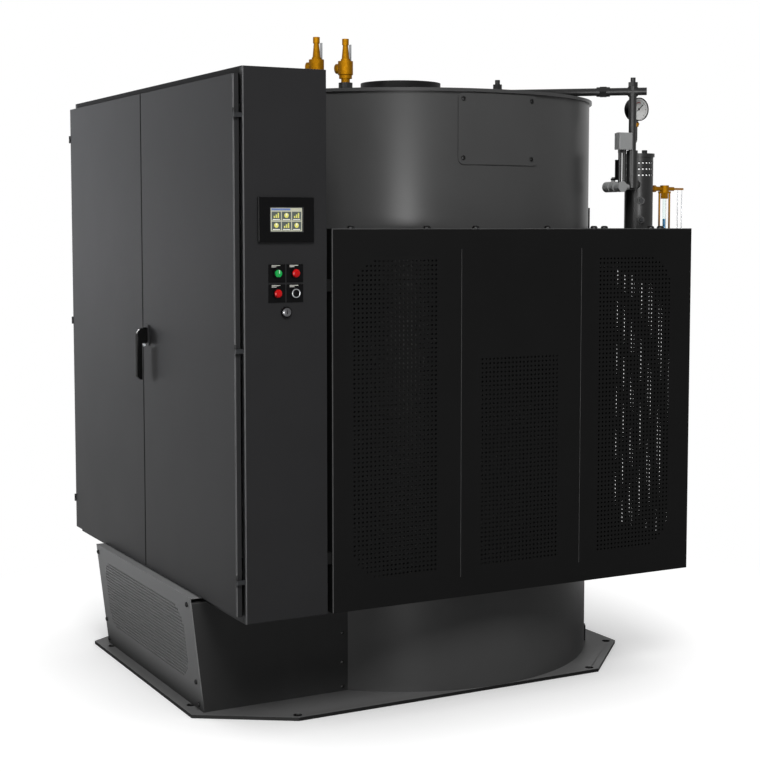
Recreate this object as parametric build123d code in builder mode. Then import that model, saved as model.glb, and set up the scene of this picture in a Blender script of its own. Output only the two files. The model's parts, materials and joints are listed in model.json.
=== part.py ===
"""Vertical steam boiler with a front guard, a two-door control cabinet and water-column trim.

Millimetres. The origin is on the vessel axis at floor level, +Z is up, the guard faces -Y
and the cabinet doors face -X.
"""
import os
from math import cos, hypot, radians, sin

from build123d import *

# Vessel, lid and flue
vessel_radius = 760
shell_wall = 10
lid_top_height = 2217
lid_thickness = 12
lid_overhang = 10
flue_radius = 162
flue_wall = 6
flue_height = 81

# Base plate, longer on the cabinet side, with clipped corners
plate_thickness = 13
plate_left_margin = 46
plate_right_margin = 7
left_clip_run = 320
left_clip_depth = 207
right_clip = 306
anchor_hole_radius = 16
side_hole_inset = 40
side_hole_clip_gap = 9
front_hole_inset = 30
front_hole_left_gap = 8.5
front_hole_right_gap = 22.5

# Access panel on the front of the shell
access_width = 342
access_height = 256
access_corner = 22
access_thickness = 4
access_lid_gap = 4

# Control cabinet, with its closed back towards the shell
front_gap = 152
underside_height = 409
shell_gap = 20
cabinet_depth = 300
cabinet_width = 1806
cabinet_rise = 21
cabinet_sheet = 4
cabinet_lip = 20
mounting_margin = 60
mounting_sheet = 3
mounting_standoff = 13
standoff_size = 30

# Doors with turned edges, on lift-off hinges
door_side_margin = 13
door_end_margin = 25
door_proud = 28
door_seam = 6
door_sheet = 3.5
door_depth = 20
hinge_radius = 5
hinge_height = 30
hinge_pin_radius = 3
hinge_fit = 0.3
hinge_offset = 7
hinge_arm = 6
hinge_end_inset = 125

# Door handle: a rose on the door, a deep neck and a hanging grip
handle_inset = 46
handle_drop = 920
handle_plate_width = 40
handle_plate_height = 76
handle_plate_depth = 6
handle_stem_radius = 6
handle_neck_half = 29
handle_reach = 38
handle_grip_depth = 20
handle_grip_length = 165
handle_width = 24
handle_corner = 32
handle_foot_bevel = 12
handle_edge = 4
handle_gap = 1

# Display and operators on the cabinet's front
display_drop = 494
display_width = 200
display_tall = 146
display_depth = 10
screen_width = 118
screen_tall = 82
screen_recess = 3
screen_fit = 0.3
legend_size = 60
legend_pitch_x = 65
legend_pitch_z = 66
legend_thickness = 2
operators_drop = 703
operator_radius = 15
operator_depth = 9
knob_radius = 12
knob_depth = 12
knob_stem_radius = 6
knob_stem_length = 6
knob_fit = 0.3
knob_ridge = 7
knob_ridge_inset = 1
lock_drop = 798
lock_radius = 18
lock_depth = 8

# Guard in front of the vessel
guard_side_gap = 1
guard_drop = 502
guard_sheet = 3
guard_flange = 35
guard_side_depth = 712
guard_shell_gap = 12
guard_left_depth = 246
slit_x = 255
slit_width = 3
slit_end_margin = 72
bracket_size = 40
bracket_end_margin = 190
stay_azimuth = -30
stay_width = 40
stay_depth = 8
stay_guard_overlap = 115
stay_rise = 82
foot_lug_height = 62

# Air plenum under the cabinet, with a leaning intake panel
plenum_sheet = 4
plenum_front_inset = 208
plenum_rear_inset = 255
plenum_root = 0.25
intake_foot_gap = 12
intake_lean_run = 48
intake_door_gap = 6

# Safety valves on the lid
valve_y = -170
right_valve_x = -335
valve_spacing = 124
valve_nozzle_radius = 27
valve_nozzle_height = 57
valve_body_radius = 29
valve_neck_radius = 17
valve_hex_radius = 25
valve_bonnet_radius = 15
valve_cap_radius = 13
valve_outlet_radius = 19
valve_outlet_bore = 14
valve_outlet_reach = 40
valve_outlet_azimuth = 124
valve_lever_width = 16
valve_lever_sheet = 4
valve_neck_height = 16
valve_hex_height = 12
valve_body_height = 54
valve_shoulder_height = 8
valve_bonnet_height = 54
valve_cap_height = 23
valve_taper = 3
valve_lever_rise = 10

# Steam pipe from the lid to the water column
steam_rise = 35
pipe_radius = 15
fitting_radius = 18
fitting_reach = 20
steam_nozzle_distance = 395
riser_inset_x = 39
riser_inset_y = 170
riser_drop = 362
riser_sleeve_radius = 22
riser_sleeve_rise = 131
riser_sleeve_drop = 22
riser_foot_chamfer = 6
union_distance = 116
union_radius = 23
union_length = 26
plug_radius = 10
plug_length = 18
plug_hex_radius = 20
plug_hex_length = 16

# Water column with a perforated probe shroud
column_outset_x = 64
column_inset_y = 260
column_radius = 57
column_rise = 32
column_length = 397
column_boss_azimuth = 242
column_boss_radius = 15
column_boss_reach = 8
column_boss_drop = 97
column_boss_pitch = 76
drain_plug_radius = 22
drain_plug_length = 22
shroud_height = 78
shroud_wall = 3
shroud_hole_radius = 5
shroud_hole_sides = 8
shroud_holes = 22
shroud_hole_azimuth = -127.4
shroud_row_pitch = 24.5
shroud_row_rise = 31
cap_overhang = 5
cap_thickness = 14
gland_offset = 27
gland_radius = 12
gland_height = 15
water_leg_rise = 35
water_leg_collar = 25
guard_pipe_gap = 10

# Gauge glass beside the water column
glass_offset = 131
glass_top_drop = 47
glass_foot_rise = 65
gauge_body_radius = 18
gauge_body_over = 14
gauge_body_under = 16
gauge_packing_radius = 16
gauge_packing_length = 24
gauge_link_radius = 9
gauge_nut_radius = 14
gauge_nut_length = 14
gauge_stem_radius = 8
gauge_stem_length = 28
gauge_lever_length = 48
gauge_lever_width = 10
gauge_lever_thickness = 8
rod_half_spacing = 25.5
rod_radius = 4
rod_bar_thickness = 8
glass_radius = 8
glass_wall = 2
water_depth = 123
water_fit = 0.3
chain_radius = 1.5
chain_inset = 5
chain_spacing = 21

# Pressure gauge on its siphon, behind the riser
gauge_offset_x = 56
gauge_offset_y = 34
gauge_drop = 65
gauge_radius = 46
gauge_rim = 3
gauge_rim_depth = 4
gauge_depth = 34
gauge_neck_radius = 7
gauge_neck_length = 2
siphon_radius = 6
siphon_drop = 192
siphon_bend = 12
cock_radius = 10
cock_length = 19

# Pressure control on two upright pipes, in front of the riser
control_offset_x = 60
control_offset_y = 22
control_rise = 132
control_width = 58
control_depth = 36
control_tall = 64
control_corner = 3
control_cover_depth = 22
control_cover_lip = 2
control_pipe_radius = 7
control_pipe_setback = 10
control_pipe_shift = 2
control_pipe_spacing = 20.5
control_nut_radius = 9
control_nut_length = 12

# Test valve on a short link from the riser, with a cranked upright lever
test_valve_offset = 61
test_valve_drop = 12
test_valve_front = 24
test_valve_length = 109
test_valve_radius = 21
test_valve_waist = 15
test_collar_starts = (0, 42, 74)
test_collar_lengths = (28, 20, 35)
test_link_radius = 11
valve_stem_setback = 64
valve_stem_radius = 5
valve_stem_boss = 8
valve_stem_rise = 26
valve_stem_nut_radius = 7
valve_stem_nut_length = 5
lever_fit = 0.3
lever_hub_radius = 10
lever_width = 11
lever_thickness = 7
lever_crank = 21
lever_length = 80

# Sizes that follow from the ones above
lid_underside = lid_top_height - lid_thickness
front_plane = -(vessel_radius + front_gap)
cabinet_back = -(vessel_radius + shell_gap)
cabinet_opening = cabinet_back - cabinet_depth
cabinet_rear_y = front_plane + cabinet_width
cabinet_top = lid_top_height + cabinet_rise
cabinet_middle_y = (front_plane + cabinet_rear_y) / 2
door_face = cabinet_opening - door_proud
door_foot = underside_height + door_end_margin
door_head = cabinet_top - door_end_margin
display_x = (cabinet_opening + cabinet_back) / 2
display_height = cabinet_top - display_drop
operators_height = cabinet_top - operators_drop
lock_height = cabinet_top - lock_drop
handle_height = cabinet_top - handle_drop
guard_half_width = vessel_radius + guard_side_gap
guard_top = lid_top_height - guard_drop
plenum_front = -(vessel_radius - plenum_front_inset)
plenum_rear = vessel_radius - plenum_rear_inset
plenum_root_x = -plenum_root * vessel_radius
intake_foot_x = cabinet_opening - intake_foot_gap
intake_top_x = intake_foot_x - intake_lean_run
plate_left = intake_foot_x - plate_left_margin
plate_right = vessel_radius + plate_right_margin
plate_half_depth = vessel_radius
valve_seat = lid_top_height + valve_nozzle_height
left_valve_x = right_valve_x - valve_spacing
valve_stops = (left_valve_x, right_valve_x)
steam_height = lid_top_height + steam_rise
riser_x = vessel_radius - riser_inset_x
riser_y = -(vessel_radius - riser_inset_y)
riser_distance = hypot(riser_x, riser_y)
pipe_direction = (riser_x / riser_distance, riser_y / riser_distance, 0)
riser_foot_height = steam_height - riser_drop
column_x = vessel_radius + column_outset_x
column_y = -(vessel_radius - column_inset_y)
column_distance = hypot(column_x, column_y)
column_top = riser_foot_height + column_rise
column_foot = column_top - column_length
water_leg_height = column_foot + water_leg_rise
glass_x = column_x + glass_offset
glass_top_height = column_top - glass_top_drop
glass_foot_height = column_foot + glass_foot_rise
gauge_x = riser_x + gauge_offset_x
gauge_front_y = riser_y + gauge_offset_y
gauge_height = steam_height - gauge_drop
siphon_height = steam_height - siphon_drop
control_x = riser_x - control_offset_x
control_y = riser_y - control_offset_y
control_foot = riser_foot_height + control_rise
test_valve_x = riser_x - test_valve_offset
test_valve_height = riser_foot_height - test_valve_drop
test_valve_front_y = riser_y - test_valve_front
valve_stem_y = test_valve_front_y + valve_stem_setback
up = (0, 0, 1)
down = (0, 0, -1)
leftward = (-1, 0, 0)
rightward = (1, 0, 0)
frontward = (0, -1, 0)
rearward = (0, 1, 0)
hinge_heights = (
    door_foot + hinge_end_inset,
    (door_foot + door_head) / 2,
    door_head - hinge_end_inset,
)

os.makedirs("parts", exist_ok=True)


def write(piece, label):
    """Names a finished piece and writes it to its own file."""
    piece.label = label
    export_step(piece, f"parts/{label}.step")


def round_bar(start, direction, radius, length):
    """Adds a round bar or pipe to the open part, from its start point along a direction."""
    with BuildSketch(Plane(origin=start, z_dir=direction)) as section:
        Circle(radius)
    extrude(section.sketch, amount=length)


def hex_bar(start, direction, radius, length):
    """Adds a hexagonal bar to the open part, such as a plug's head or a nut."""
    with BuildSketch(Plane(origin=start, z_dir=direction)) as section:
        RegularPolygon(radius, 6)
    extrude(section.sketch, amount=length)


def upright_cut(x, y, radius, foot, head):
    """Cuts an upright round space out of the open part."""
    with BuildSketch(Plane(origin=(x, y, foot))) as section:
        Circle(radius)
    extrude(section.sketch, amount=head - foot, mode=Mode.SUBTRACT)


def slab(x_range, y_range, z_range, mode=Mode.ADD):
    """Adds or cuts an upright block between two limits on each axis."""
    with BuildSketch(Plane(origin=(sum(x_range) / 2, sum(y_range) / 2, z_range[0]))) as section:
        Rectangle(x_range[1] - x_range[0], y_range[1] - y_range[0])
    extrude(section.sketch, amount=z_range[1] - z_range[0], mode=mode)


def along_pipe(distance, height):
    """Point at a distance from the vessel axis on the steam pipe's line."""
    return (distance * pipe_direction[0], distance * pipe_direction[1], height)


# Base plate with eight anchor holes
side_hole_x = (plate_left + side_hole_inset, plate_right - side_hole_inset)
side_hole_y = plate_half_depth - right_clip - side_hole_clip_gap
front_hole_x = (
    plate_left + left_clip_run + front_hole_left_gap,
    plate_right - right_clip - front_hole_right_gap,
)
front_hole_y = plate_half_depth - front_hole_inset
anchor_points = [(x, side * side_hole_y) for x in side_hole_x for side in (-1, 1)]
anchor_points += [(x, side * front_hole_y) for x in front_hole_x for side in (-1, 1)]
with BuildPart() as base_plate:
    with BuildSketch():
        with BuildLine():
            Polyline(
                (plate_left, left_clip_depth - plate_half_depth),
                (plate_left + left_clip_run, -plate_half_depth),
                (plate_right - right_clip, -plate_half_depth),
                (plate_right, right_clip - plate_half_depth),
                (plate_right, plate_half_depth - right_clip),
                (plate_right - right_clip, plate_half_depth),
                (plate_left + left_clip_run, plate_half_depth),
                (plate_left, plate_half_depth - left_clip_depth),
                close=True,
            )
        make_face()
        with Locations(*anchor_points):
            Circle(anchor_hole_radius, mode=Mode.SUBTRACT)
    extrude(amount=plate_thickness)
write(base_plate.part, "base_plate")

# Shell, lid and flue collar
with BuildPart() as shell:
    with BuildSketch(Plane.XY.offset(plate_thickness)):
        Circle(vessel_radius)
        Circle(vessel_radius - shell_wall, mode=Mode.SUBTRACT)
    extrude(amount=lid_underside - plate_thickness)
write(shell.part, "shell")

with BuildPart() as lid:
    with BuildSketch(Plane.XY.offset(lid_underside)):
        Circle(vessel_radius + lid_overhang)
        Circle(flue_radius - flue_wall, mode=Mode.SUBTRACT)
    extrude(amount=lid_thickness)
write(lid.part, "lid")

with BuildPart() as flue_collar:
    with BuildSketch(Plane.XY.offset(lid_top_height)):
        Circle(flue_radius)
        Circle(flue_radius - flue_wall, mode=Mode.SUBTRACT)
    extrude(amount=flue_height)
write(flue_collar.part, "flue_collar")

# Access panel rolled to the shell
access_head = lid_underside - access_lid_gap
with BuildPart() as access_panel:
    access_centre = (0, 0, access_head - access_height / 2)
    with BuildSketch(Plane(origin=access_centre, x_dir=rightward, z_dir=frontward)):
        RectangleRounded(access_width, access_height, access_corner)
    extrude(amount=vessel_radius + access_thickness)
    with BuildSketch(Plane.XY.offset(access_head - access_height)):
        Circle(vessel_radius + access_thickness)
        Circle(vessel_radius, mode=Mode.SUBTRACT)
    extrude(amount=access_height, mode=Mode.INTERSECT)
write(access_panel.part, "access_panel")

# Safety valves: nozzles on the lid, brass bodies with a side outlet, and flat test levers
with BuildPart() as valve_nozzles:
    for x in valve_stops:
        round_bar((x, valve_y, lid_top_height), up, valve_nozzle_radius, valve_nozzle_height)
write(valve_nozzles.part, "valve_nozzles")

body_foot = valve_neck_height + valve_hex_height
body_head = body_foot + valve_body_height
bonnet_foot = body_head + valve_shoulder_height
bonnet_head = bonnet_foot + valve_bonnet_height
cap_head = bonnet_head + valve_cap_height
outlet_height = valve_seat + body_foot + valve_body_height / 2
outlet_direction = (cos(radians(valve_outlet_azimuth)), sin(radians(valve_outlet_azimuth)), 0)
for side, x in (("left", left_valve_x), ("right", right_valve_x)):
    with BuildPart() as safety_valve:
        with BuildSketch(Plane(origin=(x, valve_y, valve_seat), x_dir=rightward, z_dir=frontward)):
            with BuildLine():
                Polyline(
                    (0, 0),
                    (valve_neck_radius, 0),
                    (valve_neck_radius, valve_neck_height),
                    (valve_hex_radius, valve_neck_height),
                    (valve_hex_radius, body_foot),
                    (valve_body_radius, body_foot + valve_taper),
                    (valve_body_radius, body_head),
                    (valve_bonnet_radius + valve_taper, body_head),
                    (valve_bonnet_radius + valve_taper, bonnet_foot),
                    (valve_bonnet_radius, bonnet_foot),
                    (valve_cap_radius - valve_taper, bonnet_head),
                    (valve_cap_radius, bonnet_head),
                    (valve_cap_radius, cap_head),
                    (0, cap_head),
                    close=True,
                )
            make_face()
        revolve(axis=Axis((x, valve_y, valve_seat), up))
        round_bar((x, valve_y, outlet_height), outlet_direction, valve_outlet_radius, valve_outlet_reach)
        bore_start = (
            x + valve_neck_radius * outlet_direction[0],
            valve_y + valve_neck_radius * outlet_direction[1],
            outlet_height,
        )
        with BuildSketch(Plane(origin=bore_start, z_dir=outlet_direction)):
            Circle(valve_outlet_bore)
        extrude(amount=valve_outlet_reach - valve_neck_radius, mode=Mode.SUBTRACT)
    write(safety_valve.part, f"{side}_safety_valve")

lever_foot = valve_seat + body_head
with BuildPart() as valve_levers:
    for x in valve_stops:
        lever_x = x + valve_bonnet_radius + valve_taper
        slab(
            (lever_x, lever_x + valve_lever_sheet),
            (valve_y - valve_lever_width / 2, valve_y + valve_lever_width / 2),
            (lever_foot, lever_foot + valve_bonnet_height + valve_lever_rise),
        )
write(valve_levers.part, "valve_levers")

# Steam pipe: tee on the lid, straight run with a union, cross over the riser
tee_foot = steam_height - fitting_reach
tee_head = steam_height + fitting_reach
with BuildPart() as steam_nozzle:
    tee_seat = along_pipe(steam_nozzle_distance, lid_top_height)
    tee_centre = along_pipe(steam_nozzle_distance, steam_height)
    round_bar(tee_seat, up, fitting_radius, tee_head - lid_top_height)
    round_bar(tee_centre, pipe_direction, fitting_radius, fitting_reach)
    hex_bar(along_pipe(steam_nozzle_distance, tee_head), up, plug_hex_radius, plug_hex_length)
    round_bar(along_pipe(steam_nozzle_distance, tee_head + plug_hex_length), up, plug_radius, plug_length)
write(steam_nozzle.part, "steam_nozzle")

run_start = steam_nozzle_distance + fitting_reach
run_end = riser_distance - fitting_reach
union_start = riser_distance - union_distance - union_length / 2
with BuildPart() as steam_pipe:
    round_bar(along_pipe(run_start, steam_height), pipe_direction, pipe_radius, run_end - run_start)
    hex_bar(along_pipe(union_start, steam_height), pipe_direction, union_radius, union_length)
    round_bar(
        along_pipe(union_start - union_length / 2, steam_height),
        pipe_direction,
        (pipe_radius + union_radius) / 2,
        2 * union_length,
    )
write(steam_pipe.part, "steam_pipe")

with BuildPart() as pipe_cross:
    round_bar(along_pipe(run_end, steam_height), pipe_direction, fitting_radius, 2 * fitting_reach)
    round_bar((riser_x, riser_y, tee_foot), up, fitting_radius, 2 * fitting_reach)
    hex_bar((riser_x, riser_y, tee_head), up, plug_hex_radius, plug_hex_length)
    round_bar((riser_x, riser_y, tee_head + plug_hex_length), up, plug_radius, plug_length)
    round_bar(
        along_pipe(riser_distance + fitting_reach, steam_height),
        pipe_direction,
        pipe_radius,
        plug_hex_length + plug_length,
    )
write(pipe_cross.part, "pipe_cross")

# Riser down to the water column's side
column_gap = hypot(column_x - riser_x, column_y - riser_y)
elbow_direction = ((column_x - riser_x) / column_gap, (column_y - riser_y) / column_gap, 0)
riser_sleeve_foot = riser_foot_height - riser_sleeve_drop
riser_sleeve_head = riser_foot_height + riser_sleeve_rise
with BuildPart() as riser_pipe:
    round_bar(
        (riser_x, riser_y, riser_sleeve_foot),
        up,
        riser_sleeve_radius,
        riser_sleeve_head - riser_sleeve_foot,
    )
    chamfer(riser_pipe.edges().group_by(Axis.Z)[0], length=riser_foot_chamfer)
    round_bar((riser_x, riser_y, riser_foot_height), up, pipe_radius, tee_foot - riser_foot_height)
    round_bar((riser_x, riser_y, riser_foot_height), elbow_direction, fitting_radius, column_gap)
    upright_cut(column_x, column_y, column_radius, column_foot, column_top)
write(riser_pipe.part, "riser_pipe")

# Water column, its perforated shroud and cap
boss_direction = (cos(radians(column_boss_azimuth)), sin(radians(column_boss_azimuth)), 0)
with BuildPart() as water_column:
    round_bar((column_x, column_y, column_foot), up, column_radius, column_top - column_foot)
    hex_bar((column_x, column_y, column_foot), down, drain_plug_radius, drain_plug_length)
    for step in (0, 1):
        round_bar(
            (column_x, column_y, column_top - column_boss_drop - step * column_boss_pitch),
            boss_direction,
            column_boss_radius,
            column_radius + column_boss_reach,
        )
write(water_column.part, "water_column")

shroud_top = column_top + shroud_height
with BuildPart() as column_shroud:
    with BuildSketch(Plane(origin=(column_x, column_y, column_top))):
        Circle(column_radius)
        Circle(column_radius - shroud_wall, mode=Mode.SUBTRACT)
    extrude(amount=shroud_height)
    for row in (-1, 0, 1):
        row_height = column_top + shroud_row_rise + row * shroud_row_pitch
        for step in range(shroud_holes // 2):
            azimuth = radians(shroud_hole_azimuth + 360 / shroud_holes * step)
            bar = (cos(azimuth), sin(azimuth), 0)
            with BuildSketch(Plane(origin=(column_x, column_y, row_height), z_dir=bar)):
                RegularPolygon(shroud_hole_radius, shroud_hole_sides)
            extrude(amount=column_radius + shroud_wall, both=True, mode=Mode.SUBTRACT)
write(column_shroud.part, "column_shroud")

with BuildPart() as column_cap:
    round_bar((column_x, column_y, shroud_top), up, column_radius + cap_overhang, cap_thickness)
    hex_bar((column_x + gland_offset, column_y, shroud_top + cap_thickness), up, gland_radius, gland_height)
write(column_cap.part, "column_cap")

# Water leg from the shell to the foot of the column
leg_direction = (column_x / column_distance, column_y / column_distance, 0)
leg_start = vessel_radius - water_leg_collar
with BuildPart() as water_leg:
    round_bar(
        (leg_start * leg_direction[0], leg_start * leg_direction[1], water_leg_height),
        leg_direction,
        pipe_radius,
        column_distance - leg_start,
    )
    round_bar(
        (leg_start * leg_direction[0], leg_start * leg_direction[1], water_leg_height),
        leg_direction,
        fitting_radius,
        2 * water_leg_collar,
    )
    upright_cut(0, 0, vessel_radius, plate_thickness, lid_underside)
    upright_cut(column_x, column_y, column_radius, column_foot, column_top)
write(water_leg.part, "water_leg")

# Gauge glass: two brass valves joined by guard rods, the tube between them, chains on the levers
stem_start = glass_x + gauge_body_radius - rod_radius
lever_start = glass_x + gauge_body_radius + gauge_stem_length
with BuildPart() as gauge_frame:
    for height, bar_side in ((glass_top_height, -1), (glass_foot_height, 1)):
        inward = up if bar_side > 0 else down
        round_bar(
            (glass_x, column_y, height - bar_side * gauge_body_over),
            inward,
            gauge_body_radius,
            gauge_body_over + gauge_body_under,
        )
        hex_bar(
            (glass_x, column_y, height + bar_side * gauge_body_under),
            inward,
            gauge_packing_radius,
            gauge_packing_length,
        )
        round_bar((column_x, column_y, height), rightward, gauge_link_radius, glass_offset)
        hex_bar(
            (column_x + column_radius + gauge_nut_length, column_y, height),
            rightward,
            gauge_nut_radius,
            gauge_nut_length,
        )
        round_bar(
            (stem_start, column_y, height),
            rightward,
            gauge_stem_radius,
            lever_start - stem_start,
        )
        slab(
            (lever_start, lever_start + gauge_lever_length),
            (column_y - gauge_lever_width / 2, column_y + gauge_lever_width / 2),
            (height - gauge_lever_thickness / 2, height + gauge_lever_thickness / 2),
        )
        bar_height = height + bar_side * gauge_body_over
        slab(
            (glass_x - rod_half_spacing - rod_radius, glass_x + rod_half_spacing + rod_radius),
            (column_y - rod_radius, column_y + rod_radius),
            (bar_height - rod_bar_thickness / 2, bar_height + rod_bar_thickness / 2),
        )
    for rod_side in (-1, 1):
        round_bar(
            (glass_x + rod_side * rod_half_spacing, column_y, glass_foot_height + gauge_body_over),
            up,
            rod_radius,
            glass_top_height - glass_foot_height - 2 * gauge_body_over,
        )
    upright_cut(column_x, column_y, column_radius, column_foot, column_top)
write(gauge_frame.part, "gauge_frame")

gauge_packing_end = gauge_body_under + gauge_packing_length
glass_foot = glass_foot_height + gauge_packing_end
with BuildPart() as gauge_glass:
    with BuildSketch(Plane(origin=(glass_x, column_y, glass_foot))):
        Circle(glass_radius)
        Circle(glass_radius - glass_wall, mode=Mode.SUBTRACT)
    extrude(amount=glass_top_height - gauge_packing_end - glass_foot)
write(gauge_glass.part, "gauge_glass")

with BuildPart() as gauge_water:
    round_bar(
        (glass_x, column_y, glass_foot),
        up,
        glass_radius - glass_wall - water_fit,
        water_depth,
    )
write(gauge_water.part, "gauge_water")

chain_foot = glass_foot_height + gauge_lever_thickness / 2
with BuildPart() as lever_chains:
    for step in (0, 1):
        round_bar(
            (lever_start + gauge_lever_length - chain_inset - step * chain_spacing, column_y, chain_foot),
            up,
            chain_radius,
            glass_top_height - gauge_lever_thickness / 2 - chain_foot,
        )
write(lever_chains.part, "lever_chains")

# Pressure gauge and its siphon from the riser
gauge_y = gauge_front_y + gauge_depth / 2
gauge_foot = gauge_height - gauge_radius - gauge_neck_length
with BuildPart() as pressure_gauge:
    round_bar((gauge_x, gauge_front_y, gauge_height), rearward, gauge_radius, gauge_depth)
    with BuildSketch(Plane(origin=(gauge_x, gauge_front_y, gauge_height), z_dir=frontward)):
        Circle(gauge_radius)
        Circle(gauge_radius - gauge_rim, mode=Mode.SUBTRACT)
    extrude(amount=gauge_rim_depth)
    round_bar((gauge_x, gauge_y, gauge_foot), up, gauge_neck_radius, gauge_radius)
write(pressure_gauge.part, "pressure_gauge")

with BuildPart() as gauge_siphon:
    with BuildLine() as siphon_path:
        FilletPolyline(
            (riser_x, riser_y, siphon_height),
            (gauge_x, gauge_y, siphon_height),
            (gauge_x, gauge_y, gauge_foot),
            radius=siphon_bend,
        )
    siphon_direction = (gauge_x - riser_x, gauge_y - riser_y, 0)
    with BuildSketch(Plane(origin=(riser_x, riser_y, siphon_height), z_dir=siphon_direction)):
        Circle(siphon_radius)
    sweep(path=siphon_path.wire())
    round_bar((gauge_x, gauge_y, gauge_foot - cock_length), up, cock_radius, cock_length)
    upright_cut(riser_x, riser_y, pipe_radius, riser_sleeve_head, tee_foot)
write(gauge_siphon.part, "gauge_siphon")

# Test valve with its lever
with BuildPart() as test_valve:
    round_bar(
        (test_valve_x, test_valve_front_y, test_valve_height),
        rearward,
        test_valve_waist,
        test_valve_length,
    )
    for collar_start, collar_length in zip(test_collar_starts, test_collar_lengths):
        round_bar(
            (test_valve_x, test_valve_front_y + collar_start, test_valve_height),
            rearward,
            test_valve_radius,
            collar_length,
        )
    round_bar((test_valve_x, riser_y, test_valve_height), rightward, test_link_radius, test_valve_offset)
    round_bar((test_valve_x, valve_stem_y, test_valve_height), up, valve_stem_boss, valve_stem_rise)
    stem_length = valve_stem_rise + lever_thickness + 2 * lever_fit
    round_bar((test_valve_x, valve_stem_y, test_valve_height), up, valve_stem_radius, stem_length)
    hex_bar(
        (test_valve_x, valve_stem_y, test_valve_height + stem_length),
        up,
        valve_stem_nut_radius,
        valve_stem_nut_length,
    )
    add(riser_pipe.part, mode=Mode.SUBTRACT)
write(test_valve.part, "test_valve")

lever_seat = test_valve_height + valve_stem_rise + lever_fit
lever_grip_y = valve_stem_y - lever_crank
with BuildPart() as valve_lever:
    with BuildSketch(Plane(origin=(test_valve_x, valve_stem_y, lever_seat))):
        Circle(lever_hub_radius)
        with Locations((0, -lever_crank / 2)):
            Rectangle(lever_width, lever_crank)
        Circle(valve_stem_radius + lever_fit, mode=Mode.SUBTRACT)
    extrude(amount=lever_thickness)
    slab(
        (test_valve_x - lever_width / 2, test_valve_x + lever_width / 2),
        (lever_grip_y - lever_thickness / 2, lever_grip_y + lever_thickness / 2),
        (lever_seat, lever_seat + lever_length),
    )
write(valve_lever.part, "valve_lever")

# Pressure control and its pipes
with BuildPart() as pressure_control:
    slab(
        (control_x - control_width / 2, control_x + control_width / 2),
        (control_y - control_depth / 2, control_y + control_depth / 2),
        (control_foot, control_foot + control_tall),
    )
    cover_half = control_width / 2 + control_cover_lip
    slab(
        (control_x - cover_half, control_x + cover_half),
        (control_y - control_depth / 2, control_y - control_depth / 2 + control_cover_depth),
        (control_foot, control_foot + control_tall + control_cover_lip),
    )
    fillet(pressure_control.edges().filter_by(Axis.Z).group_by(Axis.Y)[0], radius=control_corner)
write(pressure_control.part, "pressure_control")

control_pipe_y = control_y + control_pipe_setback
with BuildPart() as control_pipe:
    for side in (-1, 1):
        pipe_x = control_x + control_pipe_shift + side * control_pipe_spacing / 2
        hex_bar((pipe_x, control_pipe_y, control_foot), down, control_nut_radius, control_nut_length)
        round_bar(
            (pipe_x, control_pipe_y, control_foot),
            down,
            control_pipe_radius,
            control_foot - test_valve_height,
        )
    add(test_valve.part, mode=Mode.SUBTRACT)
write(control_pipe.part, "control_pipe")

# Guard: slitted front sheet with turned edges, a side sheet, and brackets to cabinet and shell
guard_back = front_plane + guard_sheet
guard_flange_end = guard_back + guard_flange
guard_side_end = guard_back + guard_side_depth
with BuildPart() as guard_front:
    slab((-guard_half_width, guard_half_width), (front_plane, guard_back), (underside_height, guard_top))
    for side in (-1, 1):
        slab(
            (side * slit_x - slit_width / 2, side * slit_x + slit_width / 2),
            (front_plane, guard_back),
            (underside_height + slit_end_margin, guard_top - slit_end_margin),
            mode=Mode.SUBTRACT,
        )
    inner_end = guard_half_width - guard_sheet
    for sheet_foot in (underside_height, guard_top - guard_sheet):
        sheet_z = (sheet_foot, sheet_foot + guard_sheet)
        slab((-guard_half_width, inner_end), (guard_back, guard_back + guard_left_depth), sheet_z)
        slab((0, inner_end), (guard_back, guard_side_end), sheet_z)
    upright_cut(0, 0, vessel_radius + guard_shell_gap, underside_height, guard_top)
    slab((-guard_half_width, -inner_end), (guard_back, guard_flange_end), (underside_height, guard_top))
write(guard_front.part, "guard_front")

leg_crossing = guard_half_width * column_y / column_x
with BuildPart() as guard_side:
    slab((inner_end, guard_half_width), (guard_back, guard_side_end), (underside_height, guard_top))
    with BuildSketch(Plane(origin=(inner_end, leg_crossing, water_leg_height), z_dir=rightward)):
        Circle(pipe_radius + guard_pipe_gap)
    extrude(amount=guard_sheet, mode=Mode.SUBTRACT)
write(guard_side.part, "guard_side")

bracket_heights = (underside_height + bracket_end_margin, guard_top - bracket_end_margin)
with BuildPart() as guard_brackets:
    for height in bracket_heights:
        bracket_z = (height - bracket_size / 2, height + bracket_size / 2)
        slab((cabinet_back, -guard_half_width), (guard_back + guard_sheet, guard_flange_end), bracket_z)
        slab((vessel_radius / 2, inner_end), (guard_side_end - bracket_size, guard_side_end), bracket_z)
    stay_ranges = (
        (guard_top - stay_guard_overlap, guard_top + stay_rise),
        (plate_thickness, plate_thickness + foot_lug_height),
    )
    for stay_foot, stay_head in stay_ranges:
        stay_plane = Plane(origin=(0, 0, stay_foot), z_dir=up).rotated((0, 0, stay_azimuth))
        with BuildSketch(stay_plane) as stay_section:
            with Locations((vessel_radius, 0)):
                Rectangle(2 * stay_depth, stay_width)
        extrude(stay_section.sketch, amount=stay_head - stay_foot)
    upright_cut(0, 0, vessel_radius, plate_thickness, lid_underside)
write(guard_brackets.part, "guard_brackets")

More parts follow.
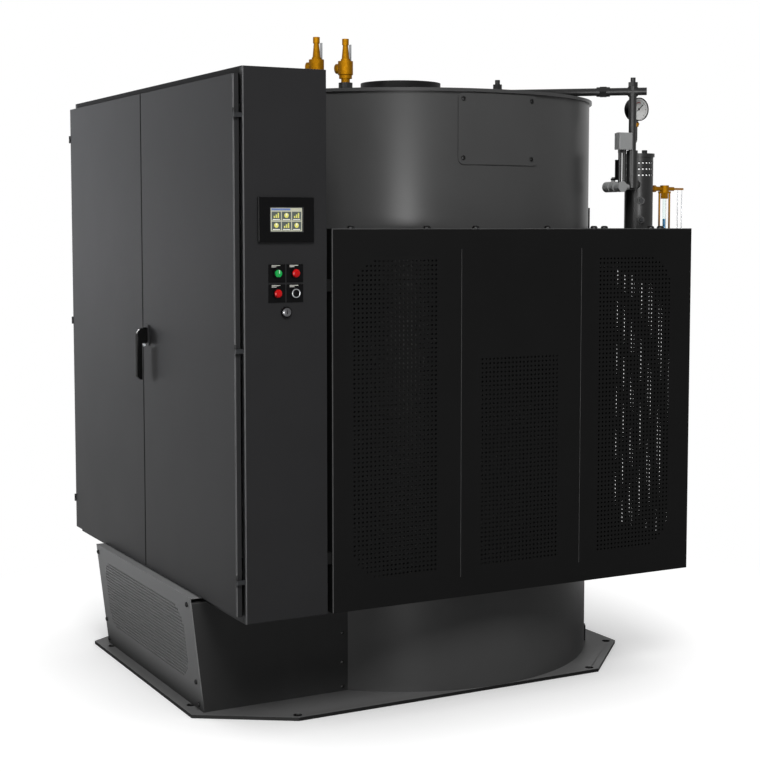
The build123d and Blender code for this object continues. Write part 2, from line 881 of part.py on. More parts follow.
# Air plenum: two walls, a top under the cabinet and the leaning intake panel with its top lip
intake_top = door_foot - intake_door_gap
plenum_top = underside_height - plenum_sheet
intake_lean = (intake_top_x - intake_foot_x) / (intake_top - plate_thickness)
wall_head_x = intake_foot_x + plenum_sheet + intake_lean * (plenum_top - plate_thickness)
with BuildPart() as plenum_walls:
    for y in (plenum_front, plenum_rear - plenum_sheet):
        with BuildSketch(Plane(origin=(0, y, 0), x_dir=rightward, z_dir=frontward)):
            with BuildLine():
                Polyline(
                    (intake_foot_x + plenum_sheet, plate_thickness),
                    (plenum_root_x, plate_thickness),
                    (plenum_root_x, plenum_top),
                    (wall_head_x, plenum_top),
                    close=True,
                )
            make_face()
        extrude(amount=-plenum_sheet)
    upright_cut(0, 0, vessel_radius, plate_thickness, lid_underside)
write(plenum_walls.part, "plenum_walls")

with BuildPart() as plenum_cover:
    slab((wall_head_x, plenum_root_x), (plenum_front, plenum_rear), (plenum_top, underside_height))
    upright_cut(0, 0, vessel_radius, plate_thickness, lid_underside)
write(plenum_cover.part, "plenum_cover")

with BuildPart() as intake_panel:
    with BuildSketch(Plane(origin=(0, plenum_front, 0), x_dir=rightward, z_dir=frontward)):
        with BuildLine():
            Polyline(
                (intake_foot_x, plate_thickness),
                (intake_foot_x + plenum_sheet, plate_thickness),
                (intake_top_x + plenum_sheet - intake_lean * plenum_sheet, intake_top - plenum_sheet),
                (cabinet_opening, intake_top - plenum_sheet),
                (cabinet_opening, intake_top),
                (intake_top_x, intake_top),
                close=True,
            )
        make_face()
    extrude(amount=plenum_front - plenum_rear)
write(intake_panel.part, "intake_panel")

# Cabinet walls, each with a lip around the door opening
opening_lip = (cabinet_opening, cabinet_opening + cabinet_sheet)
wall_x = (cabinet_opening, cabinet_back)
inner_front = front_plane + cabinet_sheet
inner_rear = cabinet_rear_y - cabinet_sheet
inner_foot = underside_height + cabinet_sheet
inner_head = cabinet_top - cabinet_sheet
with BuildPart() as cabinet_front:
    slab(wall_x, (front_plane, inner_front), (underside_height, cabinet_top))
    slab(opening_lip, (inner_front, inner_front + cabinet_lip), (inner_foot, inner_head))
write(cabinet_front.part, "cabinet_front")

with BuildPart() as cabinet_rear:
    slab(wall_x, (inner_rear, cabinet_rear_y), (underside_height, cabinet_top))
    slab(opening_lip, (inner_rear - cabinet_lip, inner_rear), (inner_foot, inner_head))
write(cabinet_rear.part, "cabinet_rear")

lip_y = (inner_front + cabinet_lip, inner_rear - cabinet_lip)
with BuildPart() as cabinet_floor:
    slab(wall_x, (inner_front, inner_rear), (underside_height, inner_foot))
    slab(opening_lip, lip_y, (inner_foot, inner_foot + cabinet_lip))
write(cabinet_floor.part, "cabinet_floor")

with BuildPart() as cabinet_roof:
    slab(wall_x, (inner_front, inner_rear), (inner_head, cabinet_top))
    slab(opening_lip, lip_y, (inner_head - cabinet_lip, inner_head))
write(cabinet_roof.part, "cabinet_roof")

back_inside = cabinet_back - cabinet_sheet
with BuildPart() as cabinet_wall:
    slab((back_inside, cabinet_back), (inner_front, inner_rear), (inner_foot, inner_head))
write(cabinet_wall.part, "cabinet_wall")

panel_face = back_inside - mounting_standoff
panel_y = (inner_front + mounting_margin, inner_rear - mounting_margin)
panel_z = (inner_foot + mounting_margin, inner_head - mounting_margin)
with BuildPart() as mounting_panel:
    slab((panel_face - mounting_sheet, panel_face), panel_y, panel_z)
    for y in (panel_y[0], panel_y[1] - standoff_size):
        for z in (panel_z[0], panel_z[1] - standoff_size):
            slab((panel_face, back_inside), (y, y + standoff_size), (z, z + standoff_size))
write(mounting_panel.part, "mounting_panel")

# Doors: turned sheets with the upper half of each hinge and its pin
near_edge = front_plane + door_side_margin
far_edge = cabinet_rear_y - door_side_margin
seam_near = cabinet_middle_y - door_seam / 2
seam_far = cabinet_middle_y + door_seam / 2
door_back = door_face + door_depth
near_axis_y = near_edge - hinge_offset
far_axis_y = far_edge + hinge_offset
half_hinge = hinge_height / 2 - hinge_fit
handle_y = seam_near - handle_inset


def door_pan(y_range):
    """Adds a door's sheet and its four turned edges to the open part."""
    slab((door_face, door_back), y_range, (door_foot, door_head))
    slab(
        (door_face + door_sheet, door_back),
        (y_range[0] + door_sheet, y_range[1] - door_sheet),
        (door_foot + door_sheet, door_head - door_sheet),
        mode=Mode.SUBTRACT,
    )


def door_hinge_halves(axis_y, edge_y):
    """Adds the door's own hinge halves, each with a leaf to the door's edge and a pin."""
    for height in hinge_heights:
        round_bar((door_face, axis_y, height + hinge_fit), up, hinge_radius, half_hinge)
        round_bar((door_face, axis_y, height + hinge_radius), down, hinge_pin_radius, hinge_height / 2)
        slab(
            (door_face, door_face + door_sheet),
            (min(axis_y, edge_y), max(axis_y, edge_y)),
            (height + hinge_fit, height + hinge_height / 2),
        )


with BuildPart() as near_door:
    door_pan((near_edge, seam_near))
    door_hinge_halves(near_axis_y, near_edge)
    slab(
        (door_face - handle_plate_depth, door_face),
        (handle_y - handle_plate_width / 2, handle_y + handle_plate_width / 2),
        (handle_height - handle_plate_height / 2, handle_height + handle_plate_height / 2),
    )
    stem_hole = (door_face - handle_plate_depth, handle_y, handle_height)
    with BuildSketch(Plane(origin=stem_hole, z_dir=rightward)):
        Circle(handle_stem_radius + hinge_fit)
    extrude(amount=handle_plate_depth, mode=Mode.SUBTRACT)
write(near_door.part, "near_door")

with BuildPart() as far_door:
    door_pan((seam_far, far_edge))
    door_hinge_halves(far_axis_y, far_edge)
write(far_door.part, "far_door")

with BuildPart() as door_hinges:
    for axis_y, arm_side in ((near_axis_y, -1), (far_axis_y, 1)):
        for height in hinge_heights:
            foot = height - hinge_height / 2
            arm_ends = (axis_y + arm_side * hinge_radius, axis_y + arm_side * (hinge_radius - hinge_arm))
            slab((door_face, cabinet_opening), (min(arm_ends), max(arm_ends)), (foot, foot + half_hinge))
            round_bar((door_face, axis_y, foot), up, hinge_radius, half_hinge)
            upright_cut(door_face, axis_y, hinge_pin_radius + hinge_fit, foot, foot + half_hinge)
write(door_hinges.part, "door_hinges")

# Door handle: stem in the rose, a deep neck rounded at its outer corner, and the hanging grip
neck_face = door_face - handle_plate_depth - handle_gap
grip_face = neck_face - handle_reach
grip_back = grip_face + handle_grip_depth
grip_foot = handle_height - handle_grip_length
neck_foot = handle_height - handle_neck_half
neck_head = handle_height + handle_neck_half
with BuildPart() as door_handle:
    handle_near = (0, handle_y - handle_width / 2, 0)
    with BuildSketch(Plane(origin=handle_near, x_dir=rightward, z_dir=frontward)):
        with BuildLine():
            Line((neck_face, neck_head), (grip_face + handle_corner, neck_head))
            RadiusArc(
                (grip_face + handle_corner, neck_head),
                (grip_face, neck_head - handle_corner),
                -handle_corner,
            )
            Polyline(
                (grip_face, neck_head - handle_corner),
                (grip_face, grip_foot + handle_foot_bevel),
                (grip_face + handle_foot_bevel, grip_foot),
                (grip_back, grip_foot),
                (grip_back, neck_foot),
                (neck_face, neck_foot),
                (neck_face, neck_head),
            )
        make_face()
    extrude(amount=-handle_width)
    fillet(door_handle.edges().filter_by(Axis.Z).group_by(Axis.X)[0], radius=handle_edge)
    round_bar(
        (neck_face, handle_y, handle_height),
        rightward,
        handle_stem_radius,
        handle_plate_depth + handle_gap - hinge_fit,
    )
write(door_handle.part, "door_handle")

# Display, legend plates with their operators, key lock and selector knob on the cabinet's front
display_face = front_plane - display_depth
with BuildPart() as display_bezel:
    slab(
        (display_x - display_width / 2, display_x + display_width / 2),
        (display_face, front_plane),
        (display_height - display_tall / 2, display_height + display_tall / 2),
    )
    slab(
        (display_x - screen_width / 2, display_x + screen_width / 2),
        (display_face, display_face + screen_recess),
        (display_height - screen_tall / 2, display_height + screen_tall / 2),
        mode=Mode.SUBTRACT,
    )
write(display_bezel.part, "display_bezel")

with BuildPart() as display_screen:
    slab(
        (display_x - screen_width / 2 + screen_fit, display_x + screen_width / 2 - screen_fit),
        (display_face + screen_recess / 2, display_face + screen_recess),
        (display_height - screen_tall / 2 + screen_fit, display_height + screen_tall / 2 - screen_fit),
    )
write(display_screen.part, "display_screen")

legend_face = front_plane - legend_thickness
operator_face = legend_face - operator_depth
left_legend_x = display_x - legend_pitch_x / 2
upper_legend_z = operators_height + legend_pitch_z / 2
with BuildPart() as operators:
    for x in (left_legend_x, display_x + legend_pitch_x / 2):
        for z in (operators_height - legend_pitch_z / 2, upper_legend_z):
            slab(
                (x - legend_size / 2, x + legend_size / 2),
                (legend_face, front_plane),
                (z - legend_size / 2, z + legend_size / 2),
            )
            round_bar((x, legend_face, z), frontward, operator_radius, operator_depth)
    round_bar((display_x, front_plane, lock_height), frontward, lock_radius, lock_depth)
    with BuildSketch(Plane(origin=(left_legend_x, operator_face, upper_legend_z), z_dir=rearward)):
        Circle(knob_stem_radius + knob_fit)
    extrude(amount=knob_stem_length + knob_fit, mode=Mode.SUBTRACT)
write(operators.part, "operators")

knob_face = operator_face - knob_fit
with BuildPart() as selector_knob:
    round_bar((left_legend_x, knob_face, upper_legend_z), frontward, knob_radius, knob_depth / 2)
    round_bar(
        (left_legend_x, knob_face, upper_legend_z),
        rearward,
        knob_stem_radius,
        knob_stem_length,
    )
    slab(
        (left_legend_x - knob_ridge / 2, left_legend_x + knob_ridge / 2),
        (knob_face - knob_depth, knob_face),
        (upper_legend_z - knob_radius + knob_ridge_inset, upper_legend_z + knob_radius - knob_ridge_inset),
    )
write(selector_knob.part, "selector_knob")
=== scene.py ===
# %% [markdown]
# # Dressing a vertical steam boiler
#
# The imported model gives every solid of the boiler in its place, in metres. This lesson adds what a solid
# model leaves out: the perforations of the guard and the intake, bolts, chain links, the gauge's dial, the
# screen and the finish of each surface. The vessel axis is Z, the guard faces -Y and the doors face -X.

# %% Load the frame
import json
import math
from functools import partial

import bmesh
import bpy
from mathutils import Euler, Matrix, Vector


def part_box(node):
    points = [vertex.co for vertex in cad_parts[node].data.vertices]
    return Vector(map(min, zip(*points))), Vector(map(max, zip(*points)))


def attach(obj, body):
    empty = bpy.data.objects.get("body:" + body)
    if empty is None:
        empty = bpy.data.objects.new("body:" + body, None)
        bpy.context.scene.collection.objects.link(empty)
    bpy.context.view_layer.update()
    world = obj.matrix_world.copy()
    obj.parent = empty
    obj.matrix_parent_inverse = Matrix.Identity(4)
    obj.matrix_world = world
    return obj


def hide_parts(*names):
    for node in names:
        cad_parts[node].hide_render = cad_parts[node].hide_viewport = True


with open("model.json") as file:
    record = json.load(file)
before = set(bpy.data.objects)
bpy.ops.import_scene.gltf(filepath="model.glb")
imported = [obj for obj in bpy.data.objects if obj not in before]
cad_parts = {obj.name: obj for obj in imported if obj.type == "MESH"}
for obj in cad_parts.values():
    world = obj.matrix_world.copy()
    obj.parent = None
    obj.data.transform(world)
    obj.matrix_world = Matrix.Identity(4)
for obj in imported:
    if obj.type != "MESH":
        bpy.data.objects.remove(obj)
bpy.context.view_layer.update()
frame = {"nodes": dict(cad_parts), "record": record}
nodes = frame["nodes"]
MM = 0.001

# %% [markdown]
# ## Camera
#
# The camera stands a little above eye level, to the left of the guard, with a long lens so that the upright
# edges stay almost parallel. It looks down by a few degrees only; a small lens shift does the rest of the
# framing, because more tilt would make the uprights lean.


# %% Camera
def put(name, data):
    """Makes an object of this data and links it to the scene."""
    made = bpy.data.objects.new(name, data)
    bpy.context.collection.objects.link(made)
    return made


look_down, look_right = 4.517, 28.151
camera_data = bpy.data.cameras.new("camera")
camera_data.lens = 72.2
camera_data.sensor_width = 36
camera_data.shift_x = -0.0065
camera_data.shift_y = -0.0478
camera_data.clip_end = 200
camera = put("camera", camera_data)
camera.location = (-3.0476, -5.5623, 1.7207)
camera.rotation_euler = (math.radians(90 - look_down), 0, math.radians(-look_right))
bpy.context.scene.camera = camera
bpy.context.scene.view_settings.view_transform = "Standard"
print("camera at", tuple(round(v, 3) for v in camera.location))

# %% [markdown]
# ## One way to add a node
#
# Material trees and geometry trees are wired by the same small function: it makes a node, sets what the
# node itself holds, then gives each socket a value or a link. Naming another node is enough for a link from
# its first output.


# %% Node and colour helpers
def feed(tree, node, inputs):
    """Gives sockets of a node a value each, or a link from an output or from a node's first output."""
    for name, value in inputs.items():
        if isinstance(value, bpy.types.Node):
            value = value.outputs[0]
        if isinstance(value, bpy.types.NodeSocket):
            tree.links.new(value, node.inputs[name])
        else:
            node.inputs[name].default_value = value


def add_node(tree, kind, inputs=None, **settings):
    """Adds a node with its settings, and feeds its inputs."""
    made = tree.nodes.new(kind)
    for name, value in settings.items():
        setattr(made, name, value)
    feed(tree, made, inputs or {})
    return made


def linear(hex_colour):
    """sRGB hex text to the linear colour that a shader takes."""
    channels = [int(hex_colour[i:i + 2], 16) / 255 for i in (1, 3, 5)]
    return tuple(c / 12.92 if c <= 0.04045 else ((c + 0.055) / 1.055) ** 2.4 for c in channels) + (1.0,)


def blank_material(name):
    """A material with an empty tree, its output and a principled shader already linked."""
    material = bpy.data.materials.new(name)
    material.use_nodes = True
    tree = material.node_tree
    tree.nodes.clear()
    shader = add_node(tree, "ShaderNodeBsdfPrincipled")
    add_node(tree, "ShaderNodeOutputMaterial", {"Surface": shader})
    return material, tree, shader


# %% [markdown]
# ## Paints
#
# The sheet metal is powder coated: a thin plastic skin, baked on, with a very fine orange-peel texture and
# faint cloudiness. The texture bends the light a little, and the cloudiness shifts colour and gloss by a few
# percent. One recipe serves every paint: two close colours, roughness and specular level, then the size and
# depth of the grain and the size of the clouds in millimetres. Real grain is about 1 mm and wouldn't show at
# this size, so it is drawn two to three times as coarse.


# %% Paint recipe
def mottled(name, colours, roughness, patch_mm, patch_detail, grain_mm, grain_depth_mm, grain_strength):
    """A finish in which patches mix two colours and two roughness values; its grain bumps the skin."""
    material, tree, shader = blank_material(name)
    place = add_node(tree, "ShaderNodeTexCoord").outputs["Object"]
    patches = add_node(tree, "ShaderNodeTexNoise", {
        "Vector": place, "Scale": 1 / (patch_mm * MM), "Detail": patch_detail})
    tint = add_node(tree, "ShaderNodeMix", {
        "Factor": patches, 6: linear(colours[0]), 7: linear(colours[1])}, data_type="RGBA")
    gloss = add_node(tree, "ShaderNodeMapRange", {
        "Value": patches, "To Min": roughness[0], "To Max": roughness[1]})
    grain = add_node(tree, "ShaderNodeTexNoise", {
        "Vector": place, "Scale": 1 / (grain_mm * MM), "Detail": 2.0})
    skin = add_node(tree, "ShaderNodeBump", {
        "Height": grain, "Distance": grain_depth_mm * MM, "Strength": grain_strength})
    feed(tree, shader, {"Base Color": tint.outputs[2], "Roughness": gloss, "Normal": skin})
    return material, shader


def coating(name, base, worn, roughness, specular, grain_mm, grain_depth_mm, cloud_mm):
    """Powder coat, enamel or moulded plastic: faint clouds and a fine grain."""
    material, shader = mottled(name, (base, worn), (roughness - 0.04, roughness + 0.04), cloud_mm, 3.0,
                               grain_mm, grain_depth_mm, 0.5)
    shader.inputs["Specular IOR Level"].default_value = specular
    return material


# %% [markdown]
# ### Paints of the large pieces
#
# The dark greys differ by a few steps only, and the gloss tells them apart as much as the colour does. The
# specular levels are low because studio lamps leave no strong mirror image on such coats.

# %% Sheet and pipe paints
# charcoal powder coat on the shell: satin, picks up a broad soft highlight
shell_paint = coating("charcoal_powder_coat", "#474747", "#4d4d4d", 0.33, 0.06, 2.5, 0.12, 160)
# slate powder coat on the cabinet: a little cooler and finer
cabinet_paint = coating("slate_powder_coat", "#2a2a2b", "#2e2e2f", 0.40, 0.05, 2.0, 0.10, 220)
# black textured powder coat on the guard: almost no gloss
guard_paint = coating("black_textured_powder_coat", "#111111", "#141414", 0.55, 0.04, 3.0, 0.2, 120)
# black enamel brushed on iron pipe and castings: uneven, sand-cast skin under it
pipe_paint = coating("black_enamel_on_cast_iron", "#262626", "#303030", 0.40, 0.15, 4.0, 0.4, 45)
# light grey enamel of the pressure control and the mounting panel: clean and even
grey_paint = coating("light_grey_enamel", "#9c9d9d", "#a5a6a6", 0.40, 0.2, 2.0, 0.1, 90)
print("paints:", [m.name for m in (shell_paint, cabinet_paint, guard_paint, pipe_paint, grey_paint)])

# %% [markdown]
# ## Metals
#
# Brass castings keep a warm, slightly tarnished skin; turned steel is brighter and smoother. Metals take
# their colour from the reflection, so the pattern goes into colour and roughness together. Besides its
# colours each metal has a roughness, and the sizes of its tarnish spots and scratches in millimetres.


# %% Metal recipe
def bare_metal(name, base, tarnish, roughness, spot_mm, scratch_mm):
    """Uncoated metal: tarnish spots darken it and dull it, fine scratches bump it."""
    material, shader = mottled(name, (base, tarnish), (roughness - 0.08, roughness + 0.1), spot_mm, 4.0,
                               scratch_mm, 0.1, 0.4)
    shader.inputs["Metallic"].default_value = 1.0
    return material


# sand-cast brass of valves and cocks: warm and dull, without a sharp reflection
cast_brass = bare_metal("cast_brass", "#8e620c", "#704a05", 0.66, 14, 3)
# machined red brass of the outlet seats: pinker and smoother than the casting round it
red_brass = bare_metal("red_brass_outlet", "#c98a72", "#9c5c44", 0.35, 10, 3)
# turned steel of links, ring and key: pale with small bright glints
turned_steel = bare_metal("turned_steel", "#a9abad", "#86888a", 0.30, 20, 2)
# darkened chrome of the key lock: a small mirror, half of it dark
dark_chrome = bare_metal("dark_chrome_lock", "#6c6c6e", "#303032", 0.28, 8, 2)
# blackened steel of the bolts: almost black, with a faint metallic edge
blackened_steel = bare_metal("blackened_steel_bolt", "#232323", "#161616", 0.45, 6, 2)
print("metals:", [m.name for m in (cast_brass, red_brass, turned_steel, dark_chrome, blackened_steel)])

# %% [markdown]
# ## Plastics and glass
#
# Moulded plastics have a fine spark-eroded grain, so the paint recipe serves them too, with a smaller grain.
# The gauge glass is a clear tube: it needs transmission and a faint drawn waviness, which bends what is seen
# through it.

# %% Plastics, prints and glass
# moulded ABS of buttons and cases: deep black with a faint sheen
moulded_black = coating("moulded_black_abs", "#060607", "#0a0a0b", 0.35, 0.05, 1.2, 0.05, 30)
# moulded polycarbonate of the coloured operators: saturated and slightly glossy
moulded_green = coating("moulded_green_polycarbonate", "#0fa84a", "#14b856", 0.25, 0.15, 1.5, 0.03, 20)
moulded_red = coating("moulded_red_polycarbonate", "#c30a0c", "#d51214", 0.25, 0.12, 1.5, 0.03, 20)
# screen-printed ink of the legend plates: matt and slightly yellow
ivory_print = coating("ivory_screen_print", "#d9d7cf", "#e2e0d8", 0.5, 0.3, 1.5, 0.02, 20)
# dyed fill of the gauge glass: an even clear blue
gauge_blue = coating("blue_level_marker", "#1273a8", "#1a83ba", 0.3, 0.5, 2.0, 0.05, 15)
# tinted glass of the screen: dark and smooth
screen_dark = coating("dark_screen_glass", "#20262a", "#262d32", 0.12, 0.5, 3.0, 0.02, 40)
# drawn borosilicate tube: clear, bright along its edges
gauge_glass, glass_tree, glass_shader = blank_material("borosilicate_gauge_glass")
glass_waves = add_node(glass_tree, "ShaderNodeTexNoise", {
    "Vector": add_node(glass_tree, "ShaderNodeTexCoord").outputs["Object"], "Scale": 1 / (25 * MM)})
glass_skin = add_node(glass_tree, "ShaderNodeBump", {
    "Height": glass_waves, "Distance": 0.1 * MM, "Strength": 0.2})
feed(glass_tree, glass_shader, {
    "Base Color": linear("#f4fbfa"), "Roughness": 0.03, "IOR": 1.47, "Transmission Weight": 1.0,
    "Normal": glass_skin})
print("plastics, prints and glass:", [m.name for m in (
    moulded_black, moulded_green, moulded_red, ivory_print, gauge_blue, screen_dark, gauge_glass)])

# %% [markdown]
# ## Finish of each solid
#
# The record names a material slot for every solid, and one finish goes with each slot. So a change to one
# finish reaches all the solids that share it.

# %% Finish by slot
slot_finish = {
    "shell_paint": shell_paint, "cabinet_paint": cabinet_paint, "guard_paint": guard_paint,
    "pipe_paint": pipe_paint, "grey_paint": grey_paint, "brass": cast_brass, "steel": turned_steel,
    "black_plastic": moulded_black, "green_plastic": moulded_green, "screen": screen_dark,
    "glass": gauge_glass, "gauge_blue": gauge_blue,
}
for row in frame["record"]["subparts"]:
    for material_slot in nodes[row["node"]].material_slots:
        material_slot.material = slot_finish[row["material_slot"]]

# %% [markdown]
# ### Solids with a finish of their own
#
# A few solids differ from the rest of their slot: the handle is lacquered, the hinges are zinc plated, the
# flue heats the collar, and the base plate's coat is paler. The plenum walls and the roof's front edge are
# darkened as painted shade.

# %% Own finishes
# polished lacquer: black with a thin sharp highlight
handle_lacquer = coating("gloss_black_lacquer", "#060606", "#0a0a0a", 0.16, 0.02, 3.0, 0.02, 40)
# zinc plate that has gone dull: dark, flecked grey
dull_zinc = coating("dull_zinc_plate", "#292a2c", "#333436", 0.45, 0.1, 2.0, 0.05, 12)
# enamel dulled by heat: flat black
sooted_black = coating("heat_dulled_black_enamel", "#181818", "#1f1f1f", 0.55, 0.1, 3.0, 0.2, 60)
# charcoal coat a step darker than the shell: painted shade, for the shadow that the cabinet and the guard
# cast on the plenum walls
plenum_painted_shade_coat = coating("charcoal_coat_with_painted_shade", "#353535", "#3b3b3b", 0.4, 0.05, 2.5, 0.12, 120)
# slate coat of the roof made near black: painted shade, so that its front edge reads as the shaded dark line
# above the doors
roof_painted_shade_coat = coating("slate_coat_with_painted_shade", "#121213", "#161617", 0.5, 0.03, 2.0, 0.1, 200)
# charcoal coat of the base plate: paler and more matt than the shell's coat
floor_coat = coating("pale_charcoal_coat", "#686868", "#727272", 0.5, 0.1, 2.5, 0.15, 90)
own_finish = {
    "door_handle": handle_lacquer, "door_hinges": dull_zinc, "flue_collar": sooted_black,
    "base_plate": floor_coat, "plenum_walls": plenum_painted_shade_coat, "cabinet_roof": roof_painted_shade_coat,
}
for node, finish in own_finish.items():
    nodes[node].material_slots[0].material = finish
print("own finish on", list(own_finish))

# %% [markdown]
# ### A second colour on one solid
#
# The base plate's rim and the walls of its holes are painted dark: painted shade, for the shadow that lies
# in them. The selector's ridge carries a pale printed line on its upper half. Both are one solid with two
# colours: a mask worked out from the surface's direction or place tells where the second colour lies, so no
# mesh has to be split.


# %% Plate edge and selector line
def paint_over(material, colour, mask):
    """Lays a second colour over a finish wherever the mask is 1."""
    tree = material.node_tree
    shader = next(node for node in tree.nodes if node.type == "BSDF_PRINCIPLED")
    paint = shader.inputs["Base Color"].links[0].from_socket
    tint = add_node(tree, "ShaderNodeMix", {"Factor": mask, 6: paint, 7: linear(colour)}, data_type="RGBA")
    feed(tree, shader, {"Base Color": tint.outputs[2]})


def box_of(node):
    """The low and the high corner of a solid's box, as vectors."""
    return [Vector(corner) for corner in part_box(node)]


plate_node = partial(add_node, floor_coat.node_tree)
# painted shade: the plate's upright faces, its rim and the walls of its anchor holes, are darkened
plate_facing = plate_node("ShaderNodeSeparateXYZ", {0: plate_node("ShaderNodeTexCoord").outputs["Normal"]})
plate_level = plate_node("ShaderNodeMath", {0: plate_facing.outputs["Z"]}, operation="ABSOLUTE")
plate_side_painted_shade = plate_node("ShaderNodeMath", {0: plate_level, 1: 0.5}, operation="LESS_THAN")
paint_over(floor_coat, "#161616", plate_side_painted_shade)

knob_green = moulded_green.copy()
knob_green.name = "green_polycarbonate_with_line"
knob_node = partial(add_node, knob_green.node_tree)
knob_low, knob_high = box_of("selector_knob")
knob_middle = (knob_low + knob_high) / 2
line_half = 1.6 * MM
knob_place = knob_node("ShaderNodeSeparateXYZ", {
    0: knob_node("ShaderNodeTexCoord").outputs["Object"]}).outputs
on_ridge = knob_node("ShaderNodeMath", {
    0: knob_place["X"], 1: knob_middle.x, 2: line_half}, operation="COMPARE")
upper_half = knob_node("ShaderNodeMath", {0: knob_place["Z"], 1: knob_middle.z}, operation="GREATER_THAN")
knob_line = knob_node("ShaderNodeMath", {0: on_ridge, 1: upper_half}, operation="MULTIPLY")
paint_over(knob_green, "#d8f0dc", knob_line)
nodes["selector_knob"].material_slots[0].material = knob_green
print("second colours on the base plate and the selector knob")

# %% [markdown]
# ## Softened edges
#
# Folded sheet and coated plate never end in a razor edge: the bend or the paint rounds it, and that small
# round catches a thin line of light. A bevel of one to two and a half millimetres on the large flat pieces is
# enough to draw it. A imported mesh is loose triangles, so a weld joins their corners before the bevel.

# %% Edge rounding
edge_widths = {
    "near_door": 2.6, "far_door": 2.0, "cabinet_front": 2.6, "cabinet_rear": 1.6, "cabinet_roof": 1.6,
    "base_plate": 1.2, "display_bezel": 1.5, "pressure_control": 1.0, "door_handle": 1.5}
for node, width in edge_widths.items():
    weld = nodes[node].modifiers.new("weld", "WELD")
    weld.merge_threshold = 0.01 * MM
    rounding = nodes[node].modifiers.new("edge", "BEVEL")
    rounding.width = width * MM
    rounding.segments = 2
    rounding.limit_method = "ANGLE"
    rounding.angle_limit = math.radians(50)
print("edges rounded on", len(edge_widths), "solids")

# %% [markdown]
# ## From nodes to plain meshes
#
# Repeated details grow in Geometry Nodes. Each tree names its sizes as inputs and ends by making its copies
# real and giving them a finish. A carrier object takes the tree as a modifier, is evaluated once, and only
# the plain mesh is kept.


# %% Geometry tree helpers
def new_tree(name, sockets):
    """A geometry tree with named inputs; returns it with its input sockets and its output node."""
    tree = bpy.data.node_groups.new(name, "GeometryNodeTree")
    tree.is_modifier = True
    tree.interface.new_socket(name="Geometry", in_out="INPUT", socket_type="NodeSocketGeometry")
    for socket, kind in sockets:
        tree.interface.new_socket(name=socket, in_out="INPUT", socket_type=kind)
    tree.interface.new_socket(name="Geometry", in_out="OUTPUT", socket_type="NodeSocketGeometry")
    return tree, add_node(tree, "NodeGroupInput").outputs, add_node(tree, "NodeGroupOutput")


def end_tree(tree, out, copies, finish, weld=0.0):
    """Ends a tree: the copies become real, corners that touch may be welded, and the finish is set."""
    real = add_node(tree, "GeometryNodeRealizeInstances", {"Geometry": copies})
    if weld:
        real = add_node(tree, "GeometryNodeMergeByDistance", {"Geometry": real, "Distance": weld})
    finished = add_node(tree, "GeometryNodeSetMaterial", {"Geometry": real, "Material": finish})
    feed(tree, out, {"Geometry": finished})
    print(tree.name, "has", len(tree.nodes), "nodes")


def grow(tree, values, carrier=None):
    """Runs a tree with these input values on a carrier mesh, and returns the result as a plain mesh."""
    holder = put("carrier", carrier or bpy.data.meshes.new("carrier"))
    modifier = holder.modifiers.new("grow", "NODES")
    modifier.node_group = tree
    for item in tree.interface.items_tree:
        if item.item_type == "SOCKET" and item.in_out == "INPUT" and item.name in values:
            modifier[item.identifier] = values[item.name]
    bpy.context.view_layer.update()
    grown = bpy.data.meshes.new_from_object(holder.evaluated_get(bpy.context.evaluated_depsgraph_get()))
    bpy.data.objects.remove(holder)
    return grown


# %% [markdown]
# ## Pieces by hand
#
# Pieces that don't repeat are drawn corner by corner in a bmesh, Blender's editable mesh. Each finished mesh
# is settled as a piece: it gets its finish, rides on one body of the boiler, and hides the solid that it
# stands for, if there is one.


# %% Piece helpers
def mesh_of(bm, name, smooth=False):
    """Turns a bmesh into a mesh with its faces outward, and frees it."""
    bmesh.ops.recalc_face_normals(bm, faces=bm.faces)
    for face in bm.faces:
        face.smooth = smooth
    mesh = bpy.data.meshes.new(name)
    bm.to_mesh(mesh)
    bm.free()
    return mesh


def settle(name, mesh, body, material, replaces=()):
    """Makes a finished mesh one piece of the boiler, riding on its body."""
    piece = put(name, mesh)
    mesh.materials.clear()
    mesh.materials.append(material)
    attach(piece, body)
    if replaces:
        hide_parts(*replaces)
    print(name, len(mesh.polygons), "faces")


def settle_drawn(name, bm, material, smooth=False, body="boiler"):
    """Settles a piece that was drawn in a bmesh."""
    settle(name, mesh_of(bm, name, smooth), body, material)


# %% [markdown]
# ### Shapes from rings
#
# Blocks and rings of corners draw nearly every piece. Walls between two rings of a profile make a folded
# strip, and a stack of round rings makes a turned piece. A turned profile can also close on itself, which
# leaves an open bore.


# %% Shape helpers
def add_block(bm, low, high):
    """Adds a closed box between two corners, in metres."""
    middle = [(a + b) / 2 for a, b in zip(low, high)]
    size = [b - a for a, b in zip(low, high)]
    bmesh.ops.create_cube(bm, size=1.0, matrix=Matrix.Translation(middle) @ Matrix.Diagonal((*size, 1.0)))


def add_walls(bm, rings):
    """Joins each ring of corners to the next by a band of four-sided faces."""
    for here, after in zip(rings, rings[1:]):
        for k in range(len(here)):
            step = (k + 1) % len(here)
            bm.faces.new((here[k], here[step], after[step], after[k]))


def add_capped(bm, rings):
    """Joins rings by walls and closes the first and the last with a face."""
    add_walls(bm, rings)
    bm.faces.new(list(reversed(rings[0])))
    bm.faces.new(rings[-1])


def add_turned(bm, profile, base, axis, sides, unit=MM, as_ring=False, first=0.0):
    """Adds a turned solid: (radius, height) steps swept round an axis from a first angle, in degrees.

    A ring's profile closes on itself; any other solid is capped at both ends.
    """
    turn = Vector((0, 0, 1)).rotation_difference(Vector(axis)).to_matrix().to_4x4()
    place = Matrix.Translation(base) @ turn
    angles = [math.radians(first) + 2 * math.pi * step / sides for step in range(sides)]
    rings = [[bm.verts.new(place @ (unit * Vector((radius * math.cos(a), radius * math.sin(a), height))))
              for a in angles] for radius, height in profile]
    if as_ring:
        add_walls(bm, rings + rings[:1])
    else:
        add_capped(bm, rings)


